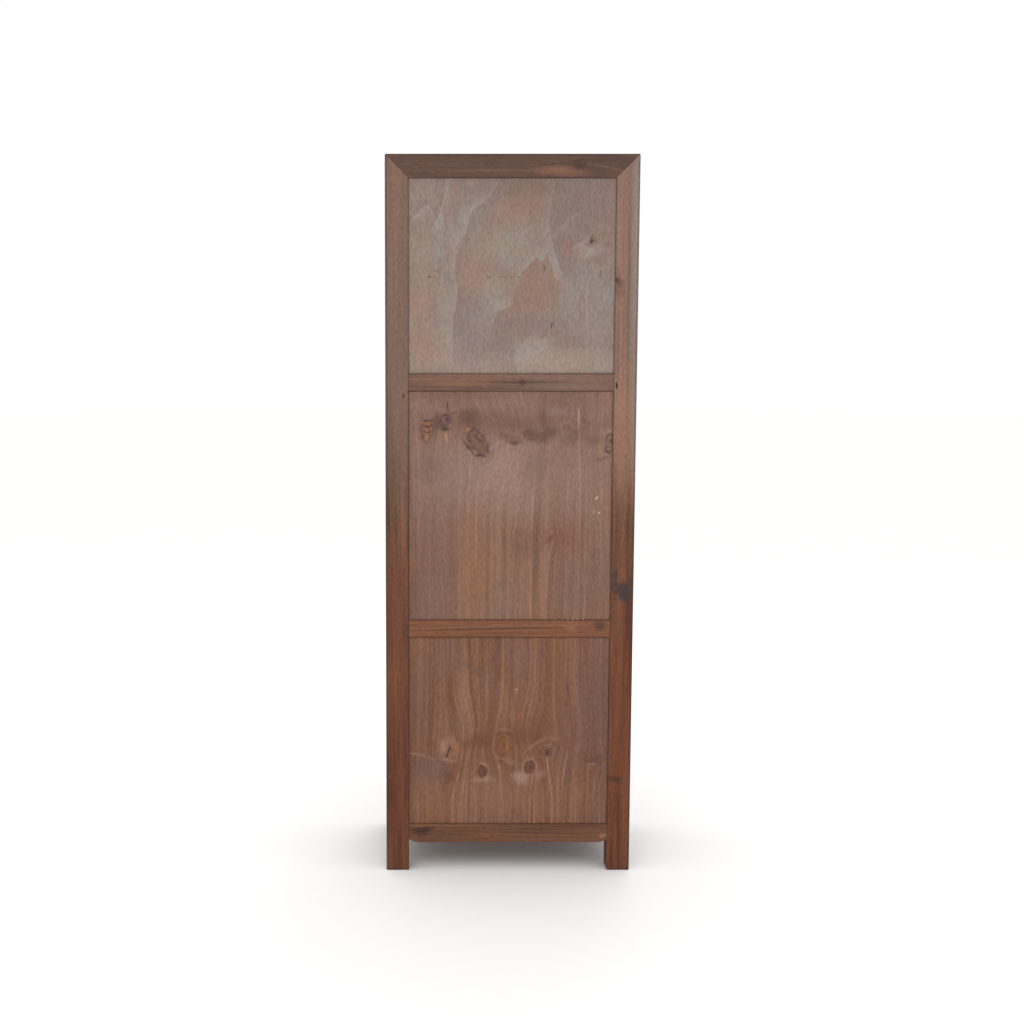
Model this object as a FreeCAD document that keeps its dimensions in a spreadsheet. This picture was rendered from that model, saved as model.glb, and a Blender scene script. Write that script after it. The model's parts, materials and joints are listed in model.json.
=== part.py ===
"""A tall book cabinet in the northern Chinese manner, built as a joiner builds it.

The frame stands with +Z up and its origin on the floor under the middle of the carcass.
The doors and drawers face -Y and the panelled back faces +Y. Lengths are millimetres.

Each of the four sides has a frame of its own: x runs along the side from its middle, y goes
inward from its outer face and z goes up from the floor. A piece is drawn in the frame of the
side that it belongs to and then turned into place, so the four sides share their joints.
"""
import FreeCAD, Part
import math
import os
import re

import Sketcher

SIZES = {
    # the carcass outside
    "width": 650,
    "depth": 380,
    "height": 1880,
    # posts and the rails round the crown, which are cut from the same square stock
    "post_width": 60,
    "outer_ease": 4,
    "edge_ease": 1.2,
    # concealed tenons that stand up from each post into the two crown rails
    "crown_inset": 34,
    "crown_edge": 12,
    "crown_width": 14,
    "crown_cover": 15,
    # top faces of the cross rails, and their heights
    "deck_level": 1325,
    "upper_rail_height": 45,
    "drawer_level": 1160,
    "drawer_rail_height": 30,
    "shelf_level": 680,
    "middle_rail_height": 46,
    "floor_level": 127,
    "bottom_rail_height": 50,
    # the posts' inner faces stand this far inside the cross rails' inner faces
    "post_reveal": 20,
    # the lower edge of a bottom rail rises towards the posts
    "scoop_rise": 7.5,
    "scoop_run": 26,
    # mortise and tenon between rails and posts
    "tenon_thickness": 14,
    "tenon_length": 30,
    "tenon_shoulder": 9,
    "mortise_slack": 1,
    # floating panels in their grooves
    "panel_setback": 4,
    "panel_thickness": 9,
    "panel_slack": 0.5,
    "groove_depth": 8,
    # boards: display deck, book shelf and floor, tongued into the rails
    "board_thickness": 15,
    "board_slack": 0.5,
    "tongue_drop": 4,
    "tongue_thickness": 6,
    "top_panel_thickness": 12,
    "top_panel_setback": 1.5,
    "shelf_bearer_gap": 3,
    "shelf_bearer_height": 25,
    # apron under the front bottom rail
    "apron_setback": 8,
    "apron_thickness": 14,
    "apron_housing": 6,
    "apron_height": 22,
    "apron_ear_height": 46,
    "apron_ear_width": 20,
    "apron_curl": 16,
    # what closes the front lies this far behind the posts
    "front_setback": 5,
    "seat_gap": 0.3,
    "running_gap": 0.05,
    "glue_line": 0.05,
    # doors
    "door_thickness": 24,
    "door_side_gap": 1,
    "door_middle_gap": 2,
    "door_end_gap": 1.5,
    "stile_width": 48,
    "door_top_rail_height": 45,
    "door_middle_rail_height": 38,
    "door_bottom_rail_height": 50,
    "door_tenon_length": 25,
    "door_panel_setback": 6,
    "door_panel_thickness": 8,
    "pivot_radius": 5,
    "socket_depth": 10,
    "socket_spare": 3,
    # drawers
    "divider_width": 24,
    "divider_tenon_length": 10,
    "divider_tenon_width": 10,
    "drawer_gap": 1,
    "drawer_front_thickness": 20,
    "drawer_side_thickness": 12,
    "drawer_lap_cover": 8,
    "drawer_top_room": 15,
    "drawer_back_drop": 8,
    "drawer_bottom_rise": 7,
    "drawer_bottom_thickness": 8,
    "drawer_groove_depth": 5,
    # runners under the drawers and the bearer behind them
    "runner_height": 20,
    "runner_ledge": 18,
    "runner_guide_height": 12,
    "runner_tenon_width": 12,
    "runner_tenon_length": 12,
    "bearer_setback": 24,
    "bearer_thickness": 26,
    "bearer_height": 38,
    # brass half-moon plates with a staple, and the drop that hangs in it
    "plate_radius": 44,
    "plate_thickness": 1.5,
    "plate_level": 800,
    "staple_inset": 20,
    "staple_radius": 1.5,
    "staple_standoff": 5,
    "drop_eye_radius": 4,
    "drop_eye_width": 8,
    "drop_eye_play": 0.5,
    "drop_thickness": 3.5,
    "drop_neck_width": 4.4,
    "drop_width": 17,
    "drop_length": 56,
    "drop_flank_radius": 170,
    # brass bails on the drawers
    "bail_span": 64,
    "bail_thickness": 3,
    "bail_standoff": 5,
    "bail_end_reach": 5,
    "bail_side_reach": 8,
    "bail_fall": 26,
    "bail_corner_radius": 12,
    "bail_stem_radius": 2.8,
    "knuckle_radius": 3.6,
    "knuckle_width": 7,
    "rosette_radius": 9,
    "rosette_thickness": 2,
    # every cut runs on this far past the face that it opens
    "overrun": 1,
}

SIDES = {
    "front": {"turn": 0, "run": "width", "x": "0", "y": "-depth / 2"},
    "right": {"turn": 90, "run": "depth", "x": "width / 2", "y": "0"},
    "back": {"turn": 180, "run": "width", "x": "0", "y": "depth / 2"},
    "left": {"turn": 270, "run": "depth", "x": "-width / 2", "y": "0"},
}

# each post stands at the left end of one side, and the side before it ends there too
POSTS = {
    "front_left_post": ("front", "left", "-width / 2", "-depth / 2"),
    "front_right_post": ("right", "front", "width / 2", "-depth / 2"),
    "back_right_post": ("back", "right", "width / 2", "depth / 2"),
    "back_left_post": ("left", "back", "-width / 2", "depth / 2"),
}

PANELLED_RAILS = {
    "upper": ("deck_level", "upper_rail_height"),
    "middle": ("shelf_level", "middle_rail_height"),
    "bottom": ("floor_level", "bottom_rail_height"),
}
FRONT_RAILS = {
    "upper": ("deck_level", "upper_rail_height"),
    "drawer": ("drawer_level", "drawer_rail_height"),
    "bottom": ("floor_level", "bottom_rail_height"),
}
RAILS = {"front": FRONT_RAILS, "right": PANELLED_RAILS, "back": PANELLED_RAILS, "left": PANELLED_RAILS}

HANDS = {"left": -1, "right": 1}

# planes of a body: the way that a sketch on it faces, seen along the third axis
FACING = {"XY_Plane": 1, "XZ_Plane": -1, "YZ_Plane": 1}

# turns that lay a primitive's own axis along x or y
LYING = {
    "x": FreeCAD.Rotation(FreeCAD.Vector(0, 1, 0), 90),
    "y": FreeCAD.Rotation(FreeCAD.Vector(1, 0, 0), -90),
    "z": FreeCAD.Rotation(),
}

# two numbers closer than this are the same number
ROUNDING = 1e-6
# two faces closer than this touch
TOUCHING = 1e-3

# heights and lines that several pieces share
CROWN_LOW = "(height - post_width)"
SHOULDER = "(width / 2 - post_width)"
RAIL_INNER = "(post_width - post_reveal)"
TENON_NEAR = "(panel_setback + panel_thickness)"
DRAWER_TOP = "(deck_level - upper_rail_height)"
DOOR_LOW = "(floor_level + door_end_gap)"
DOOR_HIGH = "(drawer_level - drawer_rail_height - door_end_gap)"
DOOR_OUTER = f"({SHOULDER} - door_side_gap)"
DOOR_INNER = "(door_middle_gap / 2)"
DOOR_BACK = "(front_setback + door_thickness)"
PIVOT_ALONG = f"({DOOR_OUTER} - door_thickness / 2)"
PIVOT_INWARD = "(front_setback + door_thickness / 2)"
DRAWER_INNER = "(divider_width / 2 + drawer_gap)"
DRAWER_OUTER = f"({SHOULDER} - drawer_gap)"
DRAWER_MIDDLE = f"(({DRAWER_INNER} + {DRAWER_OUTER}) / 2)"
BEARER_FACE = "(depth - bearer_setback - bearer_thickness)"
BRASS_FACE = "(front_setback - plate_thickness)"
STAPLE_INWARD = f"({BRASS_FACE} - staple_standoff)"
STAPLE_ALONG = f"({DOOR_INNER} + staple_inset)"
BAIL_INWARD = "(front_setback - rosette_thickness - bail_standoff)"
BAIL_LEVEL = f"((drawer_level + {DRAWER_TOP}) / 2)"


def tenon_zone(near, far, thickness):
    """The span of a tenon in the middle of a piece's thickness."""
    return f"(({near}) + ({far}) - {thickness}) / 2", f"(({near}) + ({far}) + {thickness}) / 2"


# where the small tenons of the runners and the bearers lie
RUNNER_TENON_HEIGHT = tenon_zone("drawer_level - runner_height", "drawer_level", "runner_height / 2")
SHELF_BEARER_TOP = "(shelf_level - board_thickness)"
SHELF_BEARER_NEAR = f"({DOOR_BACK} + shelf_bearer_gap)"
SHELF_BEARER_TENON = tenon_zone(SHELF_BEARER_NEAR, "post_width", "tenon_thickness")
SHELF_BEARER_TENON_HEIGHT = (
    f"{SHELF_BEARER_TOP} - shelf_bearer_height + tenon_shoulder / 2",
    f"{SHELF_BEARER_TOP} - tenon_shoulder / 2",
)
DRAWER_BEARER_TOP = "(drawer_level + runner_guide_height)"
DRAWER_BEARER_TENON = ("bearer_setback", "bearer_setback + tenon_thickness")
DRAWER_BEARER_TENON_HEIGHT = (
    f"{DRAWER_BEARER_TOP} - bearer_height + tenon_shoulder",
    f"{DRAWER_BEARER_TOP} - tenon_shoulder",
)

document = FreeCAD.newDocument("book_cabinet")
sheet = document.addObject("Spreadsheet::Sheet", "Sizes")
for row, (alias, number) in enumerate(SIZES.items(), start=1):
    sheet.set(f"A{row}", alias)
    sheet.set(f"B{row}", str(number))
    sheet.setAlias(f"B{row}", alias)
document.recompute()

pieces = []


def formula(text):
    """Puts the sheet's name before each size that an expression uses."""
    return re.sub(r"[a-z][a-z_]*", lambda word: "Sizes." + word.group(0), text)


def measure(text):
    """Works an expression out to a plain number."""
    return float(sheet.evalExpression(formula(text)))


def bind(thing, slot, text):
    """Ties one property of an object to the sheet."""
    thing.setExpression(slot, formula(text))


def start(label, turn, along, inward, group=False):
    """Begins a sub-part: a body turned about the upright axis and set in its place."""
    body = document.addObject("PartDesign::Body", label)
    body.Label = label
    body.AllowCompound = group
    body.Placement = FreeCAD.Placement(FreeCAD.Vector(), FreeCAD.Rotation(FreeCAD.Vector(0, 0, 1), turn))
    bind(body, "Placement.Base.x", along)
    bind(body, "Placement.Base.y", inward)
    pieces.append(body)
    return body


def start_on_side(label, side, group=False):
    """Begins a sub-part in the frame of one side."""
    place = SIDES[side]
    return start(label, place["turn"], place["x"], place["y"], group)


def between(span, hand=1):
    """The low end and the length of a span, mirrored for a left-hand piece."""
    low, high = span
    if hand < 0:
        low, high = f"-({high})", f"-({low})"
    return low, f"({high}) - ({low})"


def both_ends(low, high):
    """A span at the right end of a side and its mirror at the left end."""
    return (low, high), (f"-({high})", f"-({low})")


def middle(half):
    """A span of so much to each side of the middle."""
    return f"-({half})", half


def block(body, name, along, inward, upright, cut=False, hand=1):
    """Adds squared stock between three spans, or cuts that space away."""
    made = body.newObject("PartDesign::SubtractiveBox" if cut else "PartDesign::AdditiveBox", name)
    spans = (between(along, hand), between(inward), between(upright))
    for axis, length, (low, run) in zip("xyz", ("Length", "Width", "Height"), spans):
        bind(made, "Placement.Base." + axis, low)
        bind(made, length, run)
    return made


def bar(body, name, lying, place, radius, length, cut=False, hand=1):
    """Adds a round bar that lies along x, y or z from its low end, or bores its space away."""
    made = body.newObject("PartDesign::" + ("SubtractiveCylinder" if cut else "AdditiveCylinder"), name)
    made.Placement = FreeCAD.Placement(FreeCAD.Vector(), LYING[lying])
    along, inward, upright = place
    if hand < 0:
        along = f"-({along})"
    for slot, text in (("Placement.Base.x", along), ("Placement.Base.y", inward),
                       ("Placement.Base.z", upright), ("Radius", radius), ("Height", length)):
        bind(made, slot, text)
    return made


def pin_point(sketch, edge, end, across, up):
    """Holds one end of an edge at expressions of the sheet."""
    for kind, text in (("DistanceX", across), ("DistanceY", up)):
        number = sketch.addConstraint(Sketcher.Constraint(kind, edge, end, measure(text)))
        sketch.setExpression(f"Constraints[{number}]", formula(text))


def arc_through(begin, finish, radius):
    """An arc of signed radius, positive when it turns to the left on its way."""
    chord = finish - begin
    reach = min(chord.Length / 2, abs(radius))
    bulge = math.copysign(abs(radius) - math.sqrt(radius ** 2 - reach ** 2), radius)
    crest = (begin + finish) / 2 + FreeCAD.Vector(chord.y, -chord.x, 0) * (bulge / chord.Length)
    if radius > 0:
        return Part.Arc(begin, crest, finish)
    return Part.Arc(finish, crest, begin)


def outline(body, name, plane, points, level="0", closed=True, hand=1):
    """Draws an outline on one of the body's own planes.

    A point is (across, up), reached by a straight line, or (across, up, radius, turn), reached
    by an arc that turns left (1) or right (-1).
    """
    sketch = body.newObject("Sketcher::SketchObject", name)
    base = [feature for feature in body.Origin.OriginFeatures if feature.Role == plane]
    sketch.AttachmentSupport = [(base[0], "")]
    sketch.MapMode = "FlatFace"
    bind(sketch, "AttachmentOffset.Base.z", level if FACING[plane] > 0 else f"-({level})")
    if hand < 0:
        points = [(f"-({point[0]})",) + point[1:] for point in points]
    spots = [FreeCAD.Vector(measure(point[0]), measure(point[1]), 0) for point in points]
    count = len(points) if closed else len(points) - 1
    ends = []
    for step in range(count):
        target = (step + 1) % len(points)
        if len(points[target]) == 2:
            sketch.addGeometry(Part.LineSegment(spots[step], spots[target]), False)
            ends.append((1, 2))
            continue
        radius, turn = points[target][2:]
        turn = turn * hand
        sketch.addGeometry(arc_through(spots[step], spots[target], turn * measure(radius)), False)
        ends.append((1, 2) if turn > 0 else (2, 1))
        if (spots[target] - spots[step]).Length < 2 * measure(radius) * (1 - ROUNDING):
            number = sketch.addConstraint(Sketcher.Constraint("Radius", step, measure(radius)))
            sketch.setExpression(f"Constraints[{number}]", formula(radius))
    for step in range(count):
        pin_point(sketch, step, ends[step][0], *points[step][:2])
    for step in range(count - 1 if not closed else count):
        following = (step + 1) % count
        meeting = Sketcher.Constraint("Coincident", step, ends[step][1], following, ends[following][0])
        sketch.addConstraint(meeting)
    if not closed:
        pin_point(sketch, count - 1, ends[-1][1], *points[-1][:2])
    return sketch


def slab(body, name, plane, points, span, cut=False, hand=1):
    """Pads an outline between two distances from its plane, or pockets it through them."""
    low, high = span
    forward = FACING[plane] > 0
    sketch = outline(body, name + "_outline", plane, points, high if cut and forward else low, hand=hand)
    made = body.newObject("PartDesign::Pocket" if cut else "PartDesign::Pad", name)
    made.Profile = sketch
    made.Reversed = not forward and not cut
    bind(made, "Length", f"({high}) - ({low})")
    sketch.Visibility = False
    return made


def round_over(body, name, radius, **where):
    """Eases the edges that lie wholly at the given distances."""
    document.recompute()
    tip = body.Tip
    chosen = []
    for number, edge in enumerate(tip.Shape.Edges, start=1):
        box = edge.BoundBox
        for axis, text in where.items():
            low, high = getattr(box, axis + "Min"), getattr(box, axis + "Max")
            if max(abs(low - measure(text)), abs(high - measure(text))) > TOUCHING:
                break
        else:
            chosen.append(f"Edge{number}")
    made = body.newObject("PartDesign::Fillet", name)
    made.Base = (tip, chosen)
    bind(made, "Radius", radius)
    return made


def let_in(body, name, along, inward, upright, from_side_before, cut=True):
    """Works on a post from one of its two inner faces, measured from its outer corner."""
    if from_side_before:
        along, inward = inward, along
    return block(body, name, along, inward, upright, cut)


def make_post(label):
    """A square post whose head is one third of the three-way mitre at the crown.

    The corner cube is shared by three members, each keeping the pyramid in which it has come
    furthest from the outer corner. Two tenons stand hidden in the head, one for each rail.
    """
    here, before, corner_x, corner_y = POSTS[label]
    body = start(label, SIDES[here]["turn"], corner_x, corner_y)
    square = ("0", "post_width")
    block(body, "stock", square, square, ("0", "height"))
    round_over(body, "outer_arris", "outer_ease", X="0", Y="0")
    mitre = [
        ("-overrun", "height + overrun"),
        ("post_width + overrun", "height + overrun"),
        ("post_width + overrun", f"{CROWN_LOW} - overrun"),
    ]
    past = ("-overrun", "post_width + overrun")
    slab(body, "mitre_to_this_side", "XZ_Plane", mitre, past, cut=True)
    slab(body, "mitre_to_side_before", "YZ_Plane", mitre, past, cut=True)
    inner_face = "post_width + overrun"
    for side, is_before in ((here, False), (before, True)):
        let_in(body, "crown_tenon", ("crown_inset", "crown_inset + crown_width"),
               ("crown_edge", "crown_edge + crown_width"), (CROWN_LOW, "height - crown_cover"),
               is_before, cut=False)
        for level, rail_height in RAILS[side].values():
            let_in(body, "rail_mortise", ("post_width - tenon_length", inner_face),
                   (TENON_NEAR, f"{TENON_NEAR} + tenon_thickness"),
                   (f"{level} - {rail_height} + tenon_shoulder", f"{level} - tenon_shoulder"), is_before)
        if RAILS[side] is PANELLED_RAILS:
            let_in(body, "panel_groove", ("post_width - groove_depth", inner_face),
                   ("panel_setback", TENON_NEAR),
                   ("floor_level - groove_depth", f"{CROWN_LOW} + groove_depth"), is_before)
    # the drawer runners come into the face that the side frame shares, front and back alike
    runner_is_before = here in ("front", "back")
    let_in(body, "runner_mortise", ("post_width - runner_tenon_length", inner_face),
           ("post_width - runner_tenon_width - panel_setback", "post_width - panel_setback"),
           RUNNER_TENON_HEIGHT, runner_is_before)
    if "front" in (here, before):
        inward, upright = SHELF_BEARER_TENON, SHELF_BEARER_TENON_HEIGHT
    else:
        inward, upright = DRAWER_BEARER_TENON, DRAWER_BEARER_TENON_HEIGHT
    let_in(body, "bearer_mortise", ("post_width - runner_tenon_length", inner_face),
           inward, upright, not runner_is_before)


def make_crown_rail(side):
    """A rail of the crown, mitred on its face and on its top to meet post and neighbour."""
    body = start_on_side(f"{side}_top_rail", side)
    half = f"({SIDES[side]['run']} / 2)"
    block(body, "stock", middle(half), ("0", "post_width"), (CROWN_LOW, "height"))
    round_over(body, "outer_arris", "outer_ease", Y="0", Z="height")
    face_mitre = [
        (f"{half} + overrun", "height + overrun"),
        (f"{half} - post_width - overrun", f"{CROWN_LOW} - overrun"),
        (f"{half} + overrun", f"{CROWN_LOW} - overrun"),
    ]
    top_mitre = [
        (f"{half} + overrun", "-overrun"),
        (f"{half} + overrun", "post_width + overrun"),
        (f"{half} - post_width - overrun", "post_width + overrun"),
    ]
    for hand in HANDS.values():
        slab(body, "face_mitre", "XZ_Plane", face_mitre, ("-overrun", "post_width + overrun"), True, hand)
        slab(body, "top_mitre", "XY_Plane", top_mitre,
             (f"{CROWN_LOW} - overrun", "height + overrun"), True, hand)
        block(body, "crown_mortise", (f"{half} - crown_inset - crown_width", f"{half} - crown_inset"),
              ("crown_edge", "crown_edge + crown_width"),
              (f"{CROWN_LOW} - overrun", "height - crown_cover + mortise_slack"), True, hand)
    reach = f"{half} - post_width + groove_depth"
    block(body, "top_panel_groove", middle(reach), ("post_width - groove_depth", "post_width + overrun"),
          ("height - top_panel_setback - tongue_drop - tongue_thickness",
           "height - top_panel_setback - tongue_drop"), cut=True)
    if RAILS[side] is PANELLED_RAILS:
        block(body, "panel_groove", middle(reach), ("panel_setback", TENON_NEAR),
              (f"{CROWN_LOW} - overrun", f"{CROWN_LOW} + groove_depth"), cut=True)


def make_cross_rail(side, name):
    """A rail tenoned between two posts, grooved for the panels and the board beside it."""
    level, rail_height = RAILS[side][name]
    body = start_on_side(f"{side}_{name}_rail", side)
    shoulder = f"({SIDES[side]['run']} / 2 - post_width)"
    low = f"({level} - {rail_height})"
    through = ("0", RAIL_INNER)
    panelled = RAILS[side] is PANELLED_RAILS
    if panelled and name == "bottom":
        sweep = "(scoop_run * scoop_run + scoop_rise * scoop_rise) / (2 * scoop_rise)"
        slab(body, "stock", "XZ_Plane", [
            (f"-{shoulder}", level),
            (f"-{shoulder}", f"{low} + scoop_rise"),
            (f"-{shoulder} + scoop_run", low, sweep, 1),
            (f"{shoulder} - scoop_run", low),
            (shoulder, f"{low} + scoop_rise", sweep, 1),
            (shoulder, level),
        ], through)
    else:
        block(body, "stock", middle(shoulder), through, (low, level))
    for span in both_ends(shoulder, f"{shoulder} + tenon_length - mortise_slack"):
        block(body, "tenon", span, (TENON_NEAR, f"{TENON_NEAR} + tenon_thickness"),
              (f"{low} + tenon_shoulder", f"{level} - tenon_shoulder"))
    if panelled:
        block(body, "upper_groove", middle(shoulder), ("panel_setback", TENON_NEAR),
              (f"{level} - groove_depth", f"{level} + overrun"), cut=True)
        if name != "bottom":
            block(body, "lower_groove", middle(shoulder), ("panel_setback", TENON_NEAR),
                  (f"{low} - overrun", f"{low} + groove_depth"), cut=True)
    if name != "drawer":
        block(body, "board_groove", middle(shoulder),
              (f"{RAIL_INNER} - groove_depth", f"{RAIL_INNER} + overrun"),
              (f"{level} - tongue_drop - tongue_thickness", f"{level} - tongue_drop"), cut=True)
    if side == "front":
        finish_front_rail(body, name, level, low)


def finish_front_rail(body, name, level, low):
    """Pivot sockets for the doors, mortises for the divider and the housing of the apron."""
    bore = "pivot_radius + running_gap"
    divider = (middle("divider_tenon_width / 2"), (TENON_NEAR, f"{TENON_NEAR} + tenon_thickness"))
    for hand in HANDS.values():
        if name == "bottom":
            bar(body, "pivot_socket", "z", (PIVOT_ALONG, PIVOT_INWARD, f"{level} - socket_depth"),
                bore, "socket_depth + overrun", True, hand)
        if name == "drawer":
            bar(body, "pivot_socket", "z", (PIVOT_ALONG, PIVOT_INWARD, f"{low} - overrun"),
                bore, "overrun + socket_depth + socket_spare", True, hand)
    if name == "bottom":
        block(body, "apron_housing", middle(SHOULDER),
              ("apron_setback", "apron_setback + apron_thickness"),
              (f"{low} - overrun", f"{low} + apron_housing"), cut=True)
    if name == "drawer":
        block(body, "divider_mortise", *divider,
              (f"{level} - divider_tenon_length", f"{level} + overrun"), cut=True)
        block(body, "runner_mortise", middle("runner_tenon_width / 2"),
              (f"{RAIL_INNER} - runner_tenon_length", f"{RAIL_INNER} + overrun"),
              RUNNER_TENON_HEIGHT, cut=True)
    if name == "upper":
        block(body, "divider_mortise", *divider,
              (f"{low} - overrun", f"{low} + divider_tenon_length"), cut=True)


def make_panel(side, name, low, high):
    """A thin panel that floats in the grooves round it."""
    body = start_on_side(f"{side}_{name}_panel", side)
    half = f"{SIDES[side]['run']} / 2 - post_width + groove_depth - panel_slack"
    block(body, "sheet", middle(half), ("panel_setback", TENON_NEAR),
          (f"{low} - groove_depth", f"{high} + groove_depth - panel_slack"))


def make_board(label, level, front_edge=None):
    """A board fitted round the posts, with a tongue in the rails on every side that has one."""
    body = start(label, 0, "0", "0")
    wide = f"(width / 2 - {RAIL_INNER})"
    clear_of_posts = "(width / 2 - post_width - board_slack)"
    deep = f"(depth / 2 - {RAIL_INNER})"
    short = "(depth / 2 - post_width - board_slack)"
    near = front_edge or f"-{deep}"
    near_tongue = front_edge or f"-{deep} - groove_depth"
    faces = (f"{level} - board_thickness", level)
    tongue = (f"{level} - tongue_drop - tongue_thickness", f"{level} - tongue_drop")
    block(body, "field", middle(wide), middle(short), faces)
    block(body, "nose", middle(clear_of_posts), (near, deep), faces)
    block(body, "side_tongues", middle(f"{wide} + groove_depth"), middle(short), tongue)
    block(body, "end_tongues", middle(clear_of_posts), (near_tongue, f"{deep} + groove_depth"), tongue)
    if front_edge:
        round_over(body, "front_edge", "edge_ease", Y=front_edge, Z=level)


def make_top_panel():
    """The panel that closes the crown, tongued into the four rails."""
    body = start("top_panel", 0, "0", "0")
    wide, deep = "(width / 2 - post_width)", "(depth / 2 - post_width)"
    top = "(height - top_panel_setback)"
    block(body, "field", middle(wide), middle(deep), (f"{top} - top_panel_thickness", top))
    block(body, "tongue", middle(f"{wide} + groove_depth"), middle(f"{deep} + groove_depth"),
          (f"{top} - tongue_drop - tongue_thickness", f"{top} - tongue_drop"))


def make_bearers():
    """Two rails inside: one under the shelf's front edge, one behind the drawers."""
    reach = f"{SHOULDER} + runner_tenon_length - mortise_slack"
    shelf = start_on_side("shelf_bearer", "front")
    block(shelf, "stock", middle(SHOULDER), (SHELF_BEARER_NEAR, "post_width"),
          (f"{SHELF_BEARER_TOP} - shelf_bearer_height", SHELF_BEARER_TOP))
    block(shelf, "tenons", middle(reach), SHELF_BEARER_TENON, SHELF_BEARER_TENON_HEIGHT)
    drawer = start_on_side("drawer_bearer", "back")
    block(drawer, "stock", middle(SHOULDER), ("bearer_setback", "bearer_setback + bearer_thickness"),
          (f"{DRAWER_BEARER_TOP} - bearer_height", DRAWER_BEARER_TOP))
    block(drawer, "tenons", middle(reach), DRAWER_BEARER_TENON, DRAWER_BEARER_TENON_HEIGHT)
    block(drawer, "runner_mortise", middle("runner_tenon_width / 2"),
          ("bearer_setback + bearer_thickness - runner_tenon_length",
           "bearer_setback + bearer_thickness + overrun"), RUNNER_TENON_HEIGHT, cut=True)


def make_runners():
    """The runners: one at each side between the posts, one under the divider for both drawers."""
    body = start_on_side("drawer_runners", "front", group=True)
    base = ("drawer_level - runner_height", "drawer_level")
    guide = ("drawer_level", DRAWER_BEARER_TOP)
    side_run = ("post_width", "depth - post_width")
    for hand in HANDS.values():
        block(body, "side_ledge", (f"{SHOULDER} - runner_ledge", f"{SHOULDER} + post_reveal"),
              side_run, base, hand=hand)
        block(body, "side_guide", (SHOULDER, f"{SHOULDER} + post_reveal"), side_run, guide, hand=hand)
        block(body, "side_tenons",
              (f"{SHOULDER} + panel_setback", f"{SHOULDER} + panel_setback + runner_tenon_width"),
              ("post_width - runner_tenon_length + mortise_slack",
               "depth - post_width + runner_tenon_length - mortise_slack"), RUNNER_TENON_HEIGHT, hand=hand)
    middle_run = (RAIL_INNER, BEARER_FACE)
    block(body, "middle_ledge", middle("divider_width / 2 + runner_ledge"), middle_run, base)
    block(body, "middle_guide", middle("divider_width / 2"), middle_run, guide)
    block(body, "middle_tenons", middle("runner_tenon_width / 2"),
          (f"{RAIL_INNER} - runner_tenon_length + mortise_slack",
           f"{BEARER_FACE} + runner_tenon_length - mortise_slack"), RUNNER_TENON_HEIGHT)


def make_divider():
    """The short post between the two drawers."""
    body = start_on_side("drawer_divider", "front")
    block(body, "stock", middle("divider_width / 2"), ("0", RAIL_INNER), ("drawer_level", DRAWER_TOP))
    block(body, "tenons", middle("divider_tenon_width / 2"), (TENON_NEAR, f"{TENON_NEAR} + tenon_thickness"),
          ("drawer_level - divider_tenon_length + mortise_slack",
           f"{DRAWER_TOP} + divider_tenon_length - mortise_slack"))


def make_apron():
    """The shaped apron under the front, whose ears curl down beside the posts."""
    body = start_on_side("front_apron", "front")
    rail_low = "(floor_level - bottom_rail_height)"
    edge = f"({rail_low} - apron_height)"
    ear = f"({rail_low} - apron_ear_height)"
    inner = f"({SHOULDER} - apron_ear_width)"
    slab(body, "board", "XZ_Plane", [
        (f"-{SHOULDER}", f"{rail_low} + apron_housing"),
        (f"-{SHOULDER}", ear),
        (f"-{inner}", ear),
        (f"-{inner} + apron_curl / 2", f"{edge} - apron_curl / 2", "apron_curl", 1),
        (f"-{inner} + apron_curl", edge, "apron_curl / 2", -1),
        (f"{inner} - apron_curl", edge),
        (f"{inner} - apron_curl / 2", f"{edge} - apron_curl / 2", "apron_curl / 2", -1),
        (inner, ear, "apron_curl", 1),
        (SHOULDER, ear),
        (SHOULDER, f"{rail_low} + apron_housing"),
    ], ("apron_setback", "apron_setback + apron_thickness"))


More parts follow.
